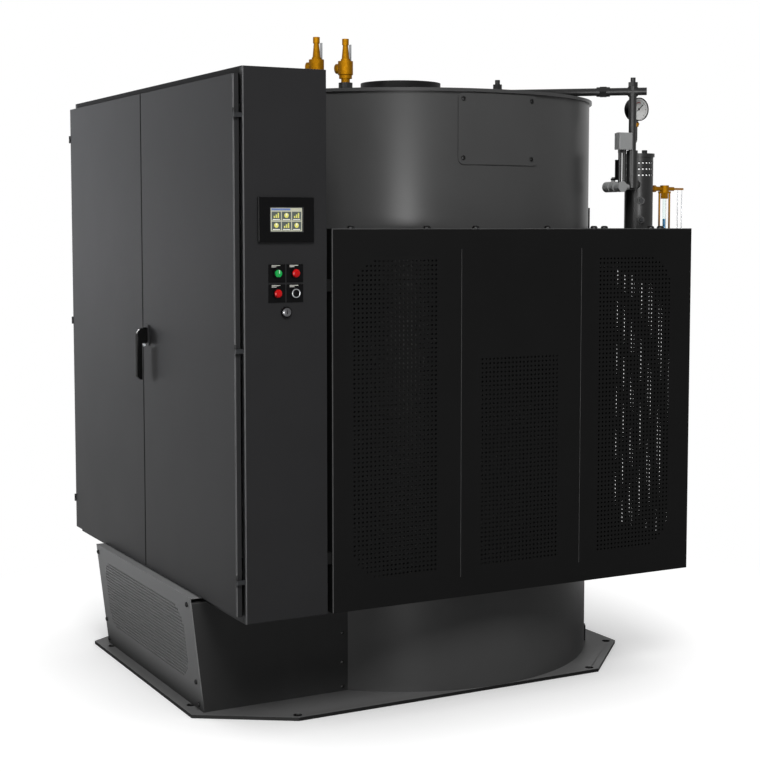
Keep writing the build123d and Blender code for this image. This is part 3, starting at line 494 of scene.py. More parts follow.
# %% [markdown]
# ## Perforated sheet
#
# The guard is black sheet steel, punched with upright fields of holes whose outer corners are rounded.
# A texture could fake the holes, but the light that comes through two sheets at once makes the bright
# dashes on the right-hand field, so the holes are real. One cell of the sheet, with an eight-sided hole, is
# repeated on a grid; outside a rounded corner a plain cell takes its place.


# %% One cell of sheet
def cell_object(name, pitch, radius, thickness):
    """One square cell of sheet, with a hole if a radius is given; its rim stays open to meet the next."""
    half = pitch / 2
    corners = ((half, half), (-half, half), (-half, -half), (half, -half))
    angles = [math.radians(22.5 + 45 * step) for step in range(8)]
    bm = bmesh.new()
    holes = []
    for depth in (0.0, -thickness):
        outer = [bm.verts.new((x, y, depth)) for x, y in corners]
        faces = [outer]
        if radius:
            hole = [bm.verts.new((radius * math.cos(a), radius * math.sin(a), depth)) for a in angles]
            holes.append(hole)
            faces = [(outer[k], hole[2 * k + 1], hole[2 * k]) for k in range(4)]
            faces += [(outer[k], outer[(k + 1) % 4], hole[(2 * k + 2) % 8], hole[2 * k + 1])
                      for k in range(4)]
        for face in faces:
            bm.faces.new(list(reversed(face)) if depth else face)
    add_walls(bm, holes)
    mesh = bpy.data.meshes.new(name)
    bm.to_mesh(mesh)
    bm.free()
    return put(name, mesh)


# %% [markdown]
# The tree starts with a grid of points one pitch apart, one point for each cell. The number of columns and
# rows and the pitch are inputs, so one tree serves the guard's sheets and the intake.

# %% Perforation grid
field_tree, field_in, field_out = new_tree("perforated_field", (
    ("Hole Cell", "NodeSocketObject"), ("Plain Cell", "NodeSocketObject"), ("Columns", "NodeSocketInt"),
    ("Rows", "NodeSocketInt"), ("Pitch", "NodeSocketFloat"), ("Left Round", "NodeSocketFloat"),
    ("Right Round", "NodeSocketFloat"), ("Finish", "NodeSocketMaterial")))
field_node = partial(add_node, field_tree)
spans = []
for count in ("Columns", "Rows"):
    steps = field_node("ShaderNodeMath", {0: field_in[count], 1: 1.0}, operation="SUBTRACT")
    spans.append(field_node("ShaderNodeMath", {0: steps, 1: field_in["Pitch"]}, operation="MULTIPLY"))
grid = field_node("GeometryNodeMeshGrid", {
    "Size X": spans[0], "Size Y": spans[1],
    "Vertices X": field_in["Columns"], "Vertices Y": field_in["Rows"]})
print("perforation grid:", len(field_tree.nodes), "nodes")

# %% [markdown]
# At each point the tree measures how far the point lies past the centre of a corner's rounding, on both axes;
# points that lie further than its radius get a plain cell. The left and the right corners of a field have
# their own radius, and zero leaves them square.

# %% Perforation cells
WELD = 0.02 * MM
corner_slack = 0.2
point = field_node("ShaderNodeSeparateXYZ", {0: field_node("GeometryNodeInputPosition")}).outputs
off_middle = field_node("ShaderNodeMath", {0: point["Y"]}, operation="ABSOLUTE")
outside = []
for corner, side in (("Left Round", -1.0), ("Right Round", 1.0)):
    radius = field_in[corner]
    off_axis = field_node("ShaderNodeMath", {0: point["X"], 1: side}, operation="MULTIPLY")
    past_centre = field_node("ShaderNodeCombineXYZ")
    for axis, place, span in (("X", off_axis, spans[0]), ("Y", off_middle, spans[1])):
        inset = field_node("ShaderNodeMath", {0: span, 1: -0.5, 2: radius}, operation="MULTIPLY_ADD")
        past = field_node("ShaderNodeMath", {0: place, 1: inset}, operation="ADD")
        past = field_node("ShaderNodeMath", {0: past, 1: 0.0}, operation="MAXIMUM")
        feed(field_tree, past_centre, {axis: past})
    reach = field_node("ShaderNodeVectorMath", {0: past_centre}, operation="LENGTH").outputs["Value"]
    limit = field_node("ShaderNodeMath", {
        0: field_in["Pitch"], 1: corner_slack, 2: radius}, operation="MULTIPLY_ADD")
    outside.append(field_node("FunctionNodeCompare", {
        0: reach, 1: limit}, data_type="FLOAT", operation="GREATER_THAN"))
plain = field_node("FunctionNodeBooleanMath", {0: outside[0], 1: outside[1]}, operation="OR")
punched = field_node("FunctionNodeBooleanMath", {0: plain}, operation="NOT")
cells = field_node("GeometryNodeJoinGeometry")
for cell, chosen in (("Hole Cell", punched), ("Plain Cell", plain)):
    shape = field_node("GeometryNodeObjectInfo", {"Object": field_in[cell]}).outputs["Geometry"]
    feed(field_tree, cells, {"Geometry": field_node("GeometryNodeInstanceOnPoints", {
        "Points": grid, "Selection": chosen, "Instance": shape})})
end_tree(field_tree, field_out, cells, field_in["Finish"], WELD)

# %% [markdown]
# The field covers only the punched area. The rest of each sheet is a frame: a grid of plain rectangles
# that leaves the fields and the slits open, with walls along the outline and the slits.


# %% Sheet frame
def add_frame(bm, size, thickness, openings):
    """Adds the plain part of a sheet: rectangles round the openings, with walls where they meet air."""
    xs = sorted({0.0, size[0], *(v for opening, _ in openings for v in opening[:2])})
    ys = sorted({0.0, size[1], *(v for opening, _ in openings for v in opening[2:])})

    def filling(i, j):
        """What fills one rectangle: sheet, a field, or air."""
        if not (0 <= i < len(xs) - 1 and 0 <= j < len(ys) - 1):
            return "air"
        x, y = (xs[i] + xs[i + 1]) / 2, (ys[j] + ys[j + 1]) / 2
        for (x0, x1, y0, y1), kind in openings:
            if x0 < x < x1 and y0 < y < y1:
                return kind
        return "sheet"

    for i in range(len(xs) - 1):
        for j in range(len(ys) - 1):
            if filling(i, j) != "sheet":
                continue
            outline = ((xs[i], ys[j]), (xs[i + 1], ys[j]), (xs[i + 1], ys[j + 1]), (xs[i], ys[j + 1]))
            front = [bm.verts.new((x, y, 0)) for x, y in outline]
            back = [bm.verts.new((x, y, -thickness)) for x, y in outline]
            bm.faces.new(front)
            bm.faces.new(list(reversed(back)))
            for k, beside in enumerate(((i, j - 1), (i + 1, j), (i, j + 1), (i - 1, j))):
                if filling(*beside) == "air":
                    after = (k + 1) % 4
                    bm.faces.new((front[after], front[k], back[k], back[after]))


# %% [markdown]
# A whole sheet is its fields and its frame, welded where they touch. It is drawn flat and then moved to its
# place, so the same function serves upright and leaning sheets.


# %% Sheet builder
def perforated_sheet(name, size, thickness, fields, slits, pitch, radius, finish, place):
    """A sheet in its own plane (x along it, y up, face at z = 0), with punched fields and open slits.

    A field is (centre x, centre y, columns, rows, left and right corner radius); a slit is (x0, x1, y0, y1).
    """
    hole_cell = cell_object("hole_cell", pitch, radius, thickness)
    plain_cell = cell_object("plain_cell", pitch, 0, thickness)
    bm = bmesh.new()
    openings = [(slit, "air") for slit in slits]
    for centre_x, centre_y, columns, rows, left_round, right_round in fields:
        mesh = grow(field_tree, {
            "Hole Cell": hole_cell, "Plain Cell": plain_cell, "Columns": columns, "Rows": rows,
            "Pitch": pitch, "Left Round": left_round, "Right Round": right_round, "Finish": finish})
        mesh.transform(Matrix.Translation((centre_x, centre_y, 0)))
        bm.from_mesh(mesh)
        bpy.data.meshes.remove(mesh)
        half_x, half_y = columns * pitch / 2, rows * pitch / 2
        field = (centre_x - half_x, centre_x + half_x, centre_y - half_y, centre_y + half_y)
        openings.append((field, "field"))
    add_frame(bm, size, thickness, openings)
    bmesh.ops.remove_doubles(bm, verts=bm.verts, dist=WELD)
    mesh = bpy.data.meshes.new(name)
    bm.to_mesh(mesh)
    bm.free()
    mesh.transform(place)
    for cell in (hole_cell, plain_cell):
        bpy.data.objects.remove(cell)
    return mesh


# %% [markdown]
# ## Guard
#
# The front sheet has three fields, the middle one lower than the outer two, and two upright slits.
# The fields' edges are the outermost hole centres, so the number of holes follows from the pitch.

# %% Guard front
guard_low, guard_high = box_of("guard_front")
guard_size = (guard_high.x - guard_low.x, guard_high.z - guard_low.z)
guard_thickness = 3 * MM
guard_pitch = 15.93 * MM
guard_hole = 4.0 * MM
corner_round = 6 * guard_pitch
field_foot, side_field_head, middle_field_head = 520 * MM, 1605 * MM, 1254 * MM
guard_fields = []
for left, right, head, left_round, right_round in (
        (-678 * MM, -357 * MM, side_field_head, corner_round, 0.0),
        (-168 * MM, 151 * MM, middle_field_head, 0.0, 0.0),
        (338 * MM, 661 * MM, side_field_head, 0.0, corner_round)):
    guard_fields.append((
        (left + right) / 2 - guard_low.x, (field_foot + head) / 2 - guard_low.z,
        round((right - left) / guard_pitch) + 1, round((head - field_foot) / guard_pitch) + 1,
        left_round, right_round))
slit_x, slit_half, slit_margin = 255 * MM, 1.5 * MM, 72 * MM
guard_slits = [
    (side * slit_x - slit_half - guard_low.x, side * slit_x + slit_half - guard_low.x,
     slit_margin, guard_size[1] - slit_margin) for side in (-1, 1)]
front_place = Matrix.Translation(guard_low) @ Matrix.Rotation(math.radians(90), 4, "X")
front_sheet = perforated_sheet("guard_front_sheet", guard_size, guard_thickness, guard_fields, guard_slits,
                               guard_pitch, guard_hole, guard_paint, front_place)
print("guard fields:", [f"{columns} by {rows}" for _, _, columns, rows, _, _ in guard_fields])

# %% [markdown]
# ### Closing the guard
#
# The sheet's left edge turns back, and plain sheets close its top and foot, so that it is dark inside. These
# are cut to the shell with a small gap: their outline is the guard's box with an arc along the shell.


# %% Guard top, foot and left edge
def joined(name, *meshes):
    """Several meshes as one."""
    bm = bmesh.new()
    for mesh in meshes:
        bm.from_mesh(mesh)
    result = bpy.data.meshes.new(name)
    bm.to_mesh(result)
    bm.free()
    return result


guard_back = guard_low.y + guard_thickness
guard_inner = guard_high.x - guard_thickness
cut_radius = 772 * MM
left_depth = guard_back + 246 * MM
turned_edge = 35 * MM
arc_start = math.asin(guard_high.y / cut_radius)
arc_end = -math.pi - math.asin(left_depth / cut_radius)
arc_steps = 40
arc = [arc_start + (arc_end - arc_start) * step / arc_steps for step in range(arc_steps + 1)]
outline = [(guard_low.x, left_depth), (guard_low.x, guard_back), (guard_inner, guard_back),
           (guard_inner, guard_high.y)]
outline += [(cut_radius * math.cos(a), cut_radius * math.sin(a)) for a in arc]
bm = bmesh.new()
for foot in (guard_low.z, guard_high.z - guard_thickness):
    add_capped(bm, [[bm.verts.new((x, y, z)) for x, y in outline] for z in (foot, foot + guard_thickness)])
add_block(bm, (guard_low.x, guard_back, guard_low.z + guard_thickness),
          (guard_low.x + guard_thickness, guard_back + turned_edge, guard_high.z - guard_thickness))
guard_edges = mesh_of(bm, "guard_edges")
settle("guard_front_sheet", joined("guard_front_sheet", front_sheet, guard_edges), "boiler",
       guard_paint, ("guard_front",))

# %% [markdown]
# ### Guard side
#
# The side sheet has one field towards the front, as tall as the outer fields of the front sheet, with all
# four corners rounded. Light that comes in here is what shows through the front.

# %% Guard side
side_low, side_high = box_of("guard_side")
side_near, side_far = -806 * MM, -420 * MM
side_size = (side_high.y - side_low.y, side_high.z - side_low.z)
side_columns = round((side_far - side_near) / guard_pitch) + 1
side_field = ((side_near + side_far) / 2 - side_low.y, guard_fields[0][1], side_columns, guard_fields[0][3],
              corner_round, corner_round)
side_place = Matrix.Translation((side_high.x, side_low.y, side_low.z)) @ Euler(
    (math.radians(90), 0, math.radians(90))).to_matrix().to_4x4()
side_sheet = perforated_sheet("guard_side_sheet", side_size, guard_thickness, [side_field], [],
                              guard_pitch, guard_hole, guard_paint, side_place)
settle("guard_side_sheet", side_sheet, "boiler", guard_paint, ("guard_side",))

# %% [markdown]
# ### Painted highlights on the guard's edges
#
# Folded and cut edges catch a thin line of light: along one side of the slits, the guard's top
# edge and its left edge. Thin strips of a paler, glossier coat, a fraction of a millimetre proud, paint these
# highlights.

# %% Guard fold lines
# painted highlight: a greyer and glossier coat than the one round it, for the light caught along folded and
# cut edges
guard_edge_highlight_coat = coating("painted_highlight_on_guard_edges", "#4c4c4c", "#565656", 0.35, 0.2, 2.0, 0.05, 60)
proud = 0.3 * MM
slit_line, slit_line_set_back = 1.6 * MM, 0.6 * MM
top_line, top_line_depth, top_line_drop = 2.6 * MM, 2.4 * MM, 0.2 * MM
left_line, left_line_depth = 3.6 * MM, 1.0 * MM
bm = bmesh.new()
for _, x1, y0, y1 in guard_slits:
    add_block(bm, (guard_low.x + x1 - slit_line, guard_low.y + slit_line_set_back, guard_low.z + y0),
              (guard_low.x + x1, guard_back, guard_low.z + y1))
add_block(bm, (guard_low.x, guard_low.y - proud, guard_high.z - top_line),
          (guard_high.x, guard_low.y + top_line_depth, guard_high.z - top_line_drop))
add_block(bm, (guard_low.x, guard_low.y - proud, guard_low.z + top_line_drop),
          (guard_low.x + left_line, guard_low.y + left_line_depth, guard_high.z - top_line))
settle_drawn("guard_fold_lines", bm, guard_edge_highlight_coat)

# %% [markdown]
# ## Painted highlights on the cabinet folds, and door seal
#
# Along the front corner of the cabinet and the near edge of the near door the fold catches the light, and
# a pale line shows there. A bevel on such thin sheet is too narrow to draw it, so a pale strip with the
# fold's own profile paints this highlight. The gap between the doors is dark: a black rubber seal fills it
# and paints its shade.

# %% Fold strips
# painted highlight: a pale satin coat for the line of light along a long fold
fold_highlight_coat = coating("painted_highlight_on_a_fold", "#6c6c6d", "#767677", 0.4, 0.06, 2.0, 0.05, 200)


def fold_strip(name, corner_x, corner_y, foot_z, head_z, body):
    """A thin pale skin round the upright corner of a sheet that faces -X and -Y: a painted highlight on the
    fold.
    """
    bend, leg, deep, short = 1.5 * MM, 4.0 * MM, 3.0 * MM, 1.0 * MM
    profile = ((-proud, deep), (-proud, bend - proud), (bend - proud, -proud), (leg, -proud), (leg, deep))
    bm = bmesh.new()
    add_capped(bm, [[bm.verts.new((corner_x + x, corner_y + y, z)) for x, y in profile]
                    for z in (foot_z + short, head_z - short)])
    settle_drawn(name, bm, fold_highlight_coat, body=body)


front_low, front_high = box_of("cabinet_front")
door_low, door_high = box_of("far_door")
# a door's box also holds its hinge knuckles, so the face and the near edge of the sheet have their own values
door_face = -1108 * MM
door_near_edge = front_low.y + 13 * MM
fold_strip("cabinet_fold", front_low.x, front_low.y, front_low.z, front_high.z, "boiler")
fold_strip("near_door_fold", door_face, door_near_edge, door_low.z, door_high.z, "near_door")

# %% [markdown]
# The seal is glued to the edge of the far door: a thin web along the edge, and a lip across the gap that
# stands just proud of the doors.

# %% Door seal
# black rubber without any gloss, in the gap between the doors: painted shade that keeps the seam dark
seam_shade_rubber = coating("black_seal_for_painted_seam_shade", "#050505", "#080808", 0.7, 0.02, 2.0, 0.1, 30)
lip_proud, lip_back, web_back = 0.4 * MM, 1.0 * MM, 12 * MM
web_out, web_in = 0.6 * MM, 0.4 * MM
lip_out, lip_in = 5.2 * MM, 2.4 * MM
seal_short = 2 * MM
seal_foot, seal_head = door_low.z + seal_short, door_high.z - seal_short
bm = bmesh.new()
add_block(bm, (door_face + lip_back, door_low.y - web_out, seal_foot),
          (door_face + web_back, door_low.y + web_in, seal_head))
add_block(bm, (door_face - lip_proud, door_low.y - lip_out, seal_foot),
          (door_face + lip_back, door_low.y + lip_in, seal_head))
settle_drawn("door_seal", bm, seam_shade_rubber, body="far_door")

# %% [markdown]
# ## Intake panel
#
# The air intake under the cabinet is a leaning sheet with finer holes, the corners of its field rounded, and
# a lip that closes it to the cabinet. It is made as the guard is and then leant on its foot.

# %% Intake coat
# charcoal coat on thin sheet, made much paler than the shell's: painted light, for the light that falls on
# the leaning intake
intake_painted_light_coat = coating("charcoal_coat_with_painted_light", "#848484", "#8c8c8c", 0.45, 0.06, 2.0, 0.1, 120)
# painted shade along its foot, where the sheet meets the plate, fading upward
painted_shade_foot, painted_shade_head = 15 * MM, 105 * MM
foot_shade_node = partial(add_node, intake_painted_light_coat.node_tree)
foot_shade_place = foot_shade_node("ShaderNodeSeparateXYZ", {0: foot_shade_node("ShaderNodeTexCoord").outputs["Object"]})
painted_foot_shade = foot_shade_node("ShaderNodeMapRange", {
    "Value": foot_shade_place.outputs["Z"], "From Min": painted_shade_foot, "From Max": painted_shade_head,
    "To Min": 1.0, "To Max": 0.0})
paint_over(intake_painted_light_coat, "#3a3a3a", painted_foot_shade)
print("soot from", painted_shade_foot, "to", painted_shade_head, "m")

# %% [markdown]
# The lean follows from the panel's box: its foot stands back, and its top reaches the box's face. Heights of
# the field are upright heights, so the cosine of the lean turns them into lengths along the sheet.

# %% Intake sheet
intake_low, intake_high = box_of("intake_panel")
intake_foot_x = -1092 * MM
intake_thickness = 4 * MM
intake_height = intake_high.z - intake_low.z
lean = math.atan2(intake_foot_x - intake_low.x, intake_height)
intake_size = (intake_high.y - intake_low.y, intake_height / math.cos(lean))
intake_pitch = 12.4 * MM
intake_hole = 4.4 * MM
far_round, near_round = 60 * MM, 75 * MM
intake_near, intake_far = -448 * MM, 424 * MM
intake_field_foot, intake_field_head = 108 * MM, 370 * MM
intake_field = (
    intake_high.y - (intake_near + intake_far) / 2,
    ((intake_field_foot + intake_field_head) / 2 - intake_low.z) / math.cos(lean),
    round((intake_far - intake_near) / intake_pitch) + 1,
    round((intake_field_head - intake_field_foot) / math.cos(lean) / intake_pitch) + 1,
    far_round, near_round)
intake_place = (Matrix.Translation((intake_foot_x, intake_high.y, intake_low.z))
                @ Matrix.Rotation(-lean, 4, "Y")
                @ Euler((math.radians(90), 0, math.radians(-90))).to_matrix().to_4x4())
intake_sheet = perforated_sheet("intake_sheet", intake_size, intake_thickness, [intake_field], [],
                                intake_pitch, intake_hole, intake_painted_light_coat, intake_place)
bm = bmesh.new()
add_block(bm, (intake_low.x + intake_thickness, intake_low.y, intake_high.z - intake_thickness), intake_high)
intake_lip = mesh_of(bm, "intake_lip")
settle("intake_sheet", joined("intake_sheet", intake_sheet, intake_lip), "boiler", intake_painted_light_coat,
       ("intake_panel",))

# %% [markdown]
# ## Bolts
#
# Button-head bolts hold the access panel, the guard, the intake and the plenum. They could be copied by hand,
# but one low head, repeated at marked points and turned to the face it sits on, keeps them alike. The tree
# reads the direction from an attribute on the points.

# %% Bolt tree
bolt_tree, bolt_in, bolt_out = new_tree("bolt_heads", (
    ("Head", "NodeSocketObject"), ("Size", "NodeSocketFloat"), ("Finish", "NodeSocketMaterial")))
bolt_node = partial(add_node, bolt_tree)
facing = bolt_node("GeometryNodeInputNamedAttribute", {"Name": "facing"}, data_type="FLOAT_VECTOR")
heads = bolt_node("GeometryNodeInstanceOnPoints", {
    "Points": bolt_in["Geometry"], "Scale": bolt_in["Size"],
    "Instance": bolt_node("GeometryNodeObjectInfo", {"Object": bolt_in["Head"]}).outputs["Geometry"],
    "Rotation": bolt_node("FunctionNodeAlignRotationToVector", {"Vector": facing}, axis="Z")})
end_tree(bolt_tree, bolt_out, heads, bolt_in["Finish"])

# a head of radius 1: a low dome with a socket sunk into it
head_profile = ((1.0, 0.0), (1.0, 0.35), (0.8, 0.62), (0.45, 0.72), (0.38, 0.45))


def bolts(name, marks, radius):
    """Blackened bolt heads at (point, direction) marks, in metres."""
    bm = bmesh.new()
    add_turned(bm, head_profile, (0, 0, 0), (0, 0, 1), 10, unit=1.0)
    head = put("bolt_head", mesh_of(bm, "bolt_head"))
    points = bpy.data.meshes.new("bolt_points")
    points.from_pydata([tuple(point) for point, _ in marks], [], [])
    directions = points.attributes.new("facing", "FLOAT_VECTOR", "POINT")
    for index, (_, direction) in enumerate(marks):
        directions.data[index].vector = Vector(direction).normalized()
    mesh = grow(bolt_tree, {"Head": head, "Size": radius, "Finish": blackened_steel}, points)
    bpy.data.objects.remove(head)
    settle(name, mesh, "boiler", blackened_steel)


# %% [markdown]
# ### Bolts in their places
#
# A mark is a point on the face and the direction out of it: round the shell for the access panel, up for the
# guard's top, out of the leaning sheet for the intake, and sideways for the plenum's seams.


# %% Bolts in their places
def heading(degrees):
    """A level unit vector at this angle round the vessel, from +X towards +Y."""
    return Vector((math.cos(math.radians(degrees)), math.sin(math.radians(degrees)), 0))


access_radius = 764 * MM
access_marks = [(heading(angle) * access_radius + Vector((0, 0, height * MM)), heading(angle))
                for angle in (-101.5, -79.6) for height in (1969, 2180)]
bolts("access_panel_bolts", access_marks, 8 * MM)

guard_bolt_y = guard_low.y + 18 * MM
guard_marks = [((x * MM, guard_bolt_y, guard_high.z), (0, 0, 1))
               for x in (-680, -385, -187, 117, 321, 368, 581, 626)]
bolts("guard_top_bolts", guard_marks, 13 * MM)

lean_out = Vector((-math.cos(lean), 0, -math.sin(lean)))
intake_marks = []
for y in (-516 * MM, 488 * MM):
    for height in (398 * MM, 116 * MM, 34 * MM):
        x = intake_foot_x - (height - intake_low.z) * math.tan(lean)
        intake_marks.append(((x, y, height), lean_out))
bolts("intake_bolts", intake_marks, 9 * MM)

plenum_low, plenum_high = box_of("plenum_walls")
seam_marks = [((x * MM, y, height * MM), (0, side, 0))
              for x, y, side in ((-545, plenum_low.y, -1), (-585, plenum_high.y, 1))
              for height in (231, 122, 30, 340)]
bolts("plenum_bolts", seam_marks, 7 * MM)

# %% [markdown]
# ## Gauge-glass chains
#
# Two light chains link the levers of the upper gauge valve to those of the lower one, so that both are shut
# with one pull. Each link is a small closed ring, turned a quarter against the next, and the tree repeats it
# up a straight line.

# %% Chain tree
chain_tree, chain_in, chain_out = new_tree("chain", (
    ("Link", "NodeSocketObject"), ("Links", "NodeSocketInt"), ("Foot", "NodeSocketVector"),
    ("Step", "NodeSocketVector"), ("Finish", "NodeSocketMaterial")))
chain_node = partial(add_node, chain_tree)
quarter = chain_node("ShaderNodeMath", {
    0: chain_node("GeometryNodeInputIndex"), 1: math.pi / 2}, operation="MULTIPLY")
links = chain_node("GeometryNodeInstanceOnPoints", {
    "Points": chain_node("GeometryNodeMeshLine", {
        "Count": chain_in["Links"], "Start Location": chain_in["Foot"], "Offset": chain_in["Step"]}),
    "Instance": chain_node("GeometryNodeObjectInfo", {"Object": chain_in["Link"]}).outputs["Geometry"],
    "Rotation": chain_node("ShaderNodeCombineXYZ", {"Z": quarter})})
end_tree(chain_tree, chain_out, links, chain_in["Finish"])

# %% [markdown]
# The link is a ring of small square sections set round an oval. The number of links follows from the height
# between the levers, and each link hooks into the next by the wire's thickness.

# %% Chain links
chain_low, chain_high = box_of("lever_chains")
link_long, link_wide, link_wire = 9 * MM, 2.6 * MM, 1.1 * MM
chain_inset = 1.5 * MM
bm = bmesh.new()
sections = []
for angle in (2 * math.pi * step / 12 for step in range(12)):
    centre = Vector((link_wide * math.cos(angle) / 2, 0, link_long * math.sin(angle) / 2))
    out = Vector((math.cos(angle), 0, math.sin(angle)))
    sections.append([bm.verts.new(centre + link_wire * (out * math.cos(t) + Vector((0, math.sin(t), 0))))
                     for t in (math.pi / 2 * k for k in range(4))])
add_walls(bm, sections + sections[:1])
link = put("chain_link", mesh_of(bm, "chain_link", True))
link_pitch = link_long - 2 * link_wire
link_count = int((chain_high.z - chain_low.z - link_long) / link_pitch) + 1
chain_meshes = []
for x in (chain_low.x + chain_inset, chain_high.x - chain_inset):
    chain_meshes.append(grow(chain_tree, {
        "Link": link, "Links": link_count, "Step": Vector((0, 0, link_pitch)), "Finish": turned_steel,
        "Foot": Vector((x, (chain_low.y + chain_high.y) / 2, chain_low.z + link_long / 2))}))
bpy.data.objects.remove(link)
settle("gauge_chains", joined("gauge_chains", *chain_meshes), "boiler", turned_steel,
       ("lever_chains",))

# %% [markdown]
# ## Pressure gauge
#
# A white enamelled dial with black ticks, a red arc over the top of the range and a black pointer, behind
# the rim of the black case. The marks are thin raised shapes, so that they stay crisp at any distance.

# %% Gauge dial
# fired enamel: clean white with a soft sheen
dial_white = coating("white_enamel_dial", "#dcdcda", "#e6e6e4", 0.35, 0.5, 2.0, 0.02, 30)
gauge_low, gauge_high = box_of("pressure_gauge")
dial_radius = 43.0
dial_profile = ((dial_radius, 0.0), (dial_radius, 0.4), (dial_radius * 0.97, 0.6))
dial_centre = Vector(((gauge_low.x + gauge_high.x) / 2, gauge_low.y + 4 * MM, gauge_high.z - 46 * MM))
bm = bmesh.new()
add_turned(bm, dial_profile, dial_centre, (0, -1, 0), 48)
settle_drawn("gauge_dial", bm, dial_white)

# %% [markdown]
# The ticks run from -135 to 135 degrees round the dial, with every fifth one longer and broader. The pointer
# is one more mark with a tail, under a turned hub.

# %% Gauge marks
mark_thickness, mark_lift, pointer_lift = 0.3, 0.8, 1.6
tick_count, tick_step, first_tick = 31, 9, -135
tick_outer = dial_radius * 0.86
pointer_angle, pointer_tail, pointer_tip, pointer_half = 48, -12, 27, 1.5
hub_profile = ((4.5, 0.0), (4.5, 1.2), (2.0, 1.8))
arc_inner, arc_outer, arc_half = dial_radius * 0.56, dial_radius * 0.64, 1.7
arc_angles = range(-40, 20, 5)


def dial_strip(bm, angle, inner, outer, half_width, lift):
    """A thin raised mark that points outward at a clock angle from the top; sizes in millimetres."""
    out = Vector((math.sin(math.radians(angle)), 0, math.cos(math.radians(angle))))
    across = Vector((out.z, 0, -out.x))
    corners = ((inner, -half_width), (outer, -half_width), (outer, half_width), (inner, half_width))
    add_capped(bm, [[bm.verts.new(dial_centre + MM * (out * r + across * s + Vector((0, -level, 0))))
                     for r, s in corners] for level in (lift - mark_thickness, lift)])


bm = bmesh.new()
for step in range(tick_count):
    inner_share, half_width = (0.68, 0.8) if step % 5 == 0 else (0.76, 0.4)
    angle = first_tick + tick_step * step
    dial_strip(bm, angle, dial_radius * inner_share, tick_outer, half_width, mark_lift)
dial_strip(bm, pointer_angle, pointer_tail, pointer_tip, pointer_half, pointer_lift)
add_turned(bm, hub_profile, dial_centre, (0, -1, 0), 20)
settle_drawn("gauge_marks", bm, moulded_black)
bm = bmesh.new()
for angle in arc_angles:
    dial_strip(bm, angle, arc_inner, arc_outer, arc_half, mark_lift)
settle_drawn("gauge_red_arc", bm, moulded_red)

# %% [markdown]
# ## Trim of the water column
#
# Small turned pieces in other metals: the brass cock under the gauge and dull steel plugs in the column's
# bosses. A lathe profile is a list of radii and heights in millimetres, swept round an axis.

# %% Gauge cock and column plugs
siphon_high = box_of("gauge_siphon")[1]
cock_foot = Vector(((gauge_low.x + gauge_high.x) / 2, gauge_high.y - 17 * MM, siphon_high.z))
cock_body = ((8, -21), (10.6, -19), (10.6, -6), (9, -2), (7.5, 0.5))
cock_spindle = ((5, 8), (5, 15), (3.5, 16))
spindle_drop = Vector((0, 0, 10 * MM))
bm = bmesh.new()
add_turned(bm, cock_body, cock_foot, (0, 0, 1), 24)
add_turned(bm, cock_spindle, cock_foot - spindle_drop, (0, -1, 0), 16)
settle_drawn("gauge_cock", bm, cast_brass, smooth=True)

column_high = box_of("water_column")[1]
column_radius, boss_reach = 57 * MM, 65 * MM
column_axis = Vector((column_high.x - column_radius, column_high.y - column_radius, 0))
boss_out = heading(242)
plug_profile = ((9.5, -1), (9.5, 2.5), (8, 4), (4.5, 4), (4.5, 1.5))
bm = bmesh.new()
for drop in (97 * MM, 173 * MM):
    seat = column_axis + boss_out * boss_reach + Vector((0, 0, column_high.z - drop))
    add_turned(bm, plug_profile, seat, boss_out, 6)
settle_drawn("column_plugs", bm, dull_zinc)

# %% [markdown]
# ### Outlet seats and handle key
#
# Each safety valve's side outlet ends in a reddish machined seat, a turned ring round the open bore. The key
# stands in the lock of the door handle and rides on it.

# %% Outlet seats and handle key
outlet_out = heading(124)
valve_y = -170 * MM
valve_radius, outlet_drop = 25 * MM, 112 * MM
seat_profile = ((14.4, 37), (14.4, 40.4), (18.6, 40.4), (19.4, 38), (19.4, 34))
# this first angle puts a corner of each ring level with its axis
seat_first = 0.25
bm = bmesh.new()
for valve in ("left_safety_valve", "right_safety_valve"):
    valve_high = box_of(valve)[1]
    outlet_at = Vector((valve_high.x - valve_radius, valve_y, valve_high.z - outlet_drop))
    add_turned(bm, seat_profile, outlet_at, outlet_out, 32, as_ring=True, first=seat_first)
settle_drawn("outlet_seats", bm, red_brass, smooth=True)

handle_low, handle_high = box_of("door_handle")
key_at = Vector((-1122 * MM, (handle_low.y + handle_high.y) / 2, 1281 * MM))
key_bow = ((5, -1.2), (5.6, -0.6), (5.6, 0.6), (5, 1.2))
bm = bmesh.new()
add_turned(bm, key_bow, key_at, (0, 1, 0), 16)
add_block(bm, key_at + MM * Vector((-1.6, -0.9, 4)), key_at + MM * Vector((1.6, 0.9, 9)))
settle_drawn("handle_key", bm, turned_steel, body="door_handle")

# %% [markdown]
# ## Screen
#
# The touch screen shows a generic home page: a bright header and six tiles. It is backlit, so its colours
# give a little light of their own.


# %% Screen finishes
def lit(name, colour, strength):
    """A backlit patch of the screen: a little light of its own, with faint pixel mottle."""
    material, tree, shader = blank_material(name)
    place = add_node(tree, "ShaderNodeTexCoord").outputs["Object"]
    mottle = add_node(tree, "ShaderNodeTexNoise", {"Vector": place, "Scale": 1 / (5 * MM)})
    bright = linear(colour)
    dimmed = tuple(c * 0.8 for c in bright[:3]) + (1.0,)
    tint = add_node(tree, "ShaderNodeMix", {"Factor": mottle, 6: bright, 7: dimmed}, data_type="RGBA")
    feed(tree, shader, {
        "Base Color": tint.outputs[2], "Emission Color": tint.outputs[2], "Emission Strength": strength,
        "Roughness": 0.3})
    return material


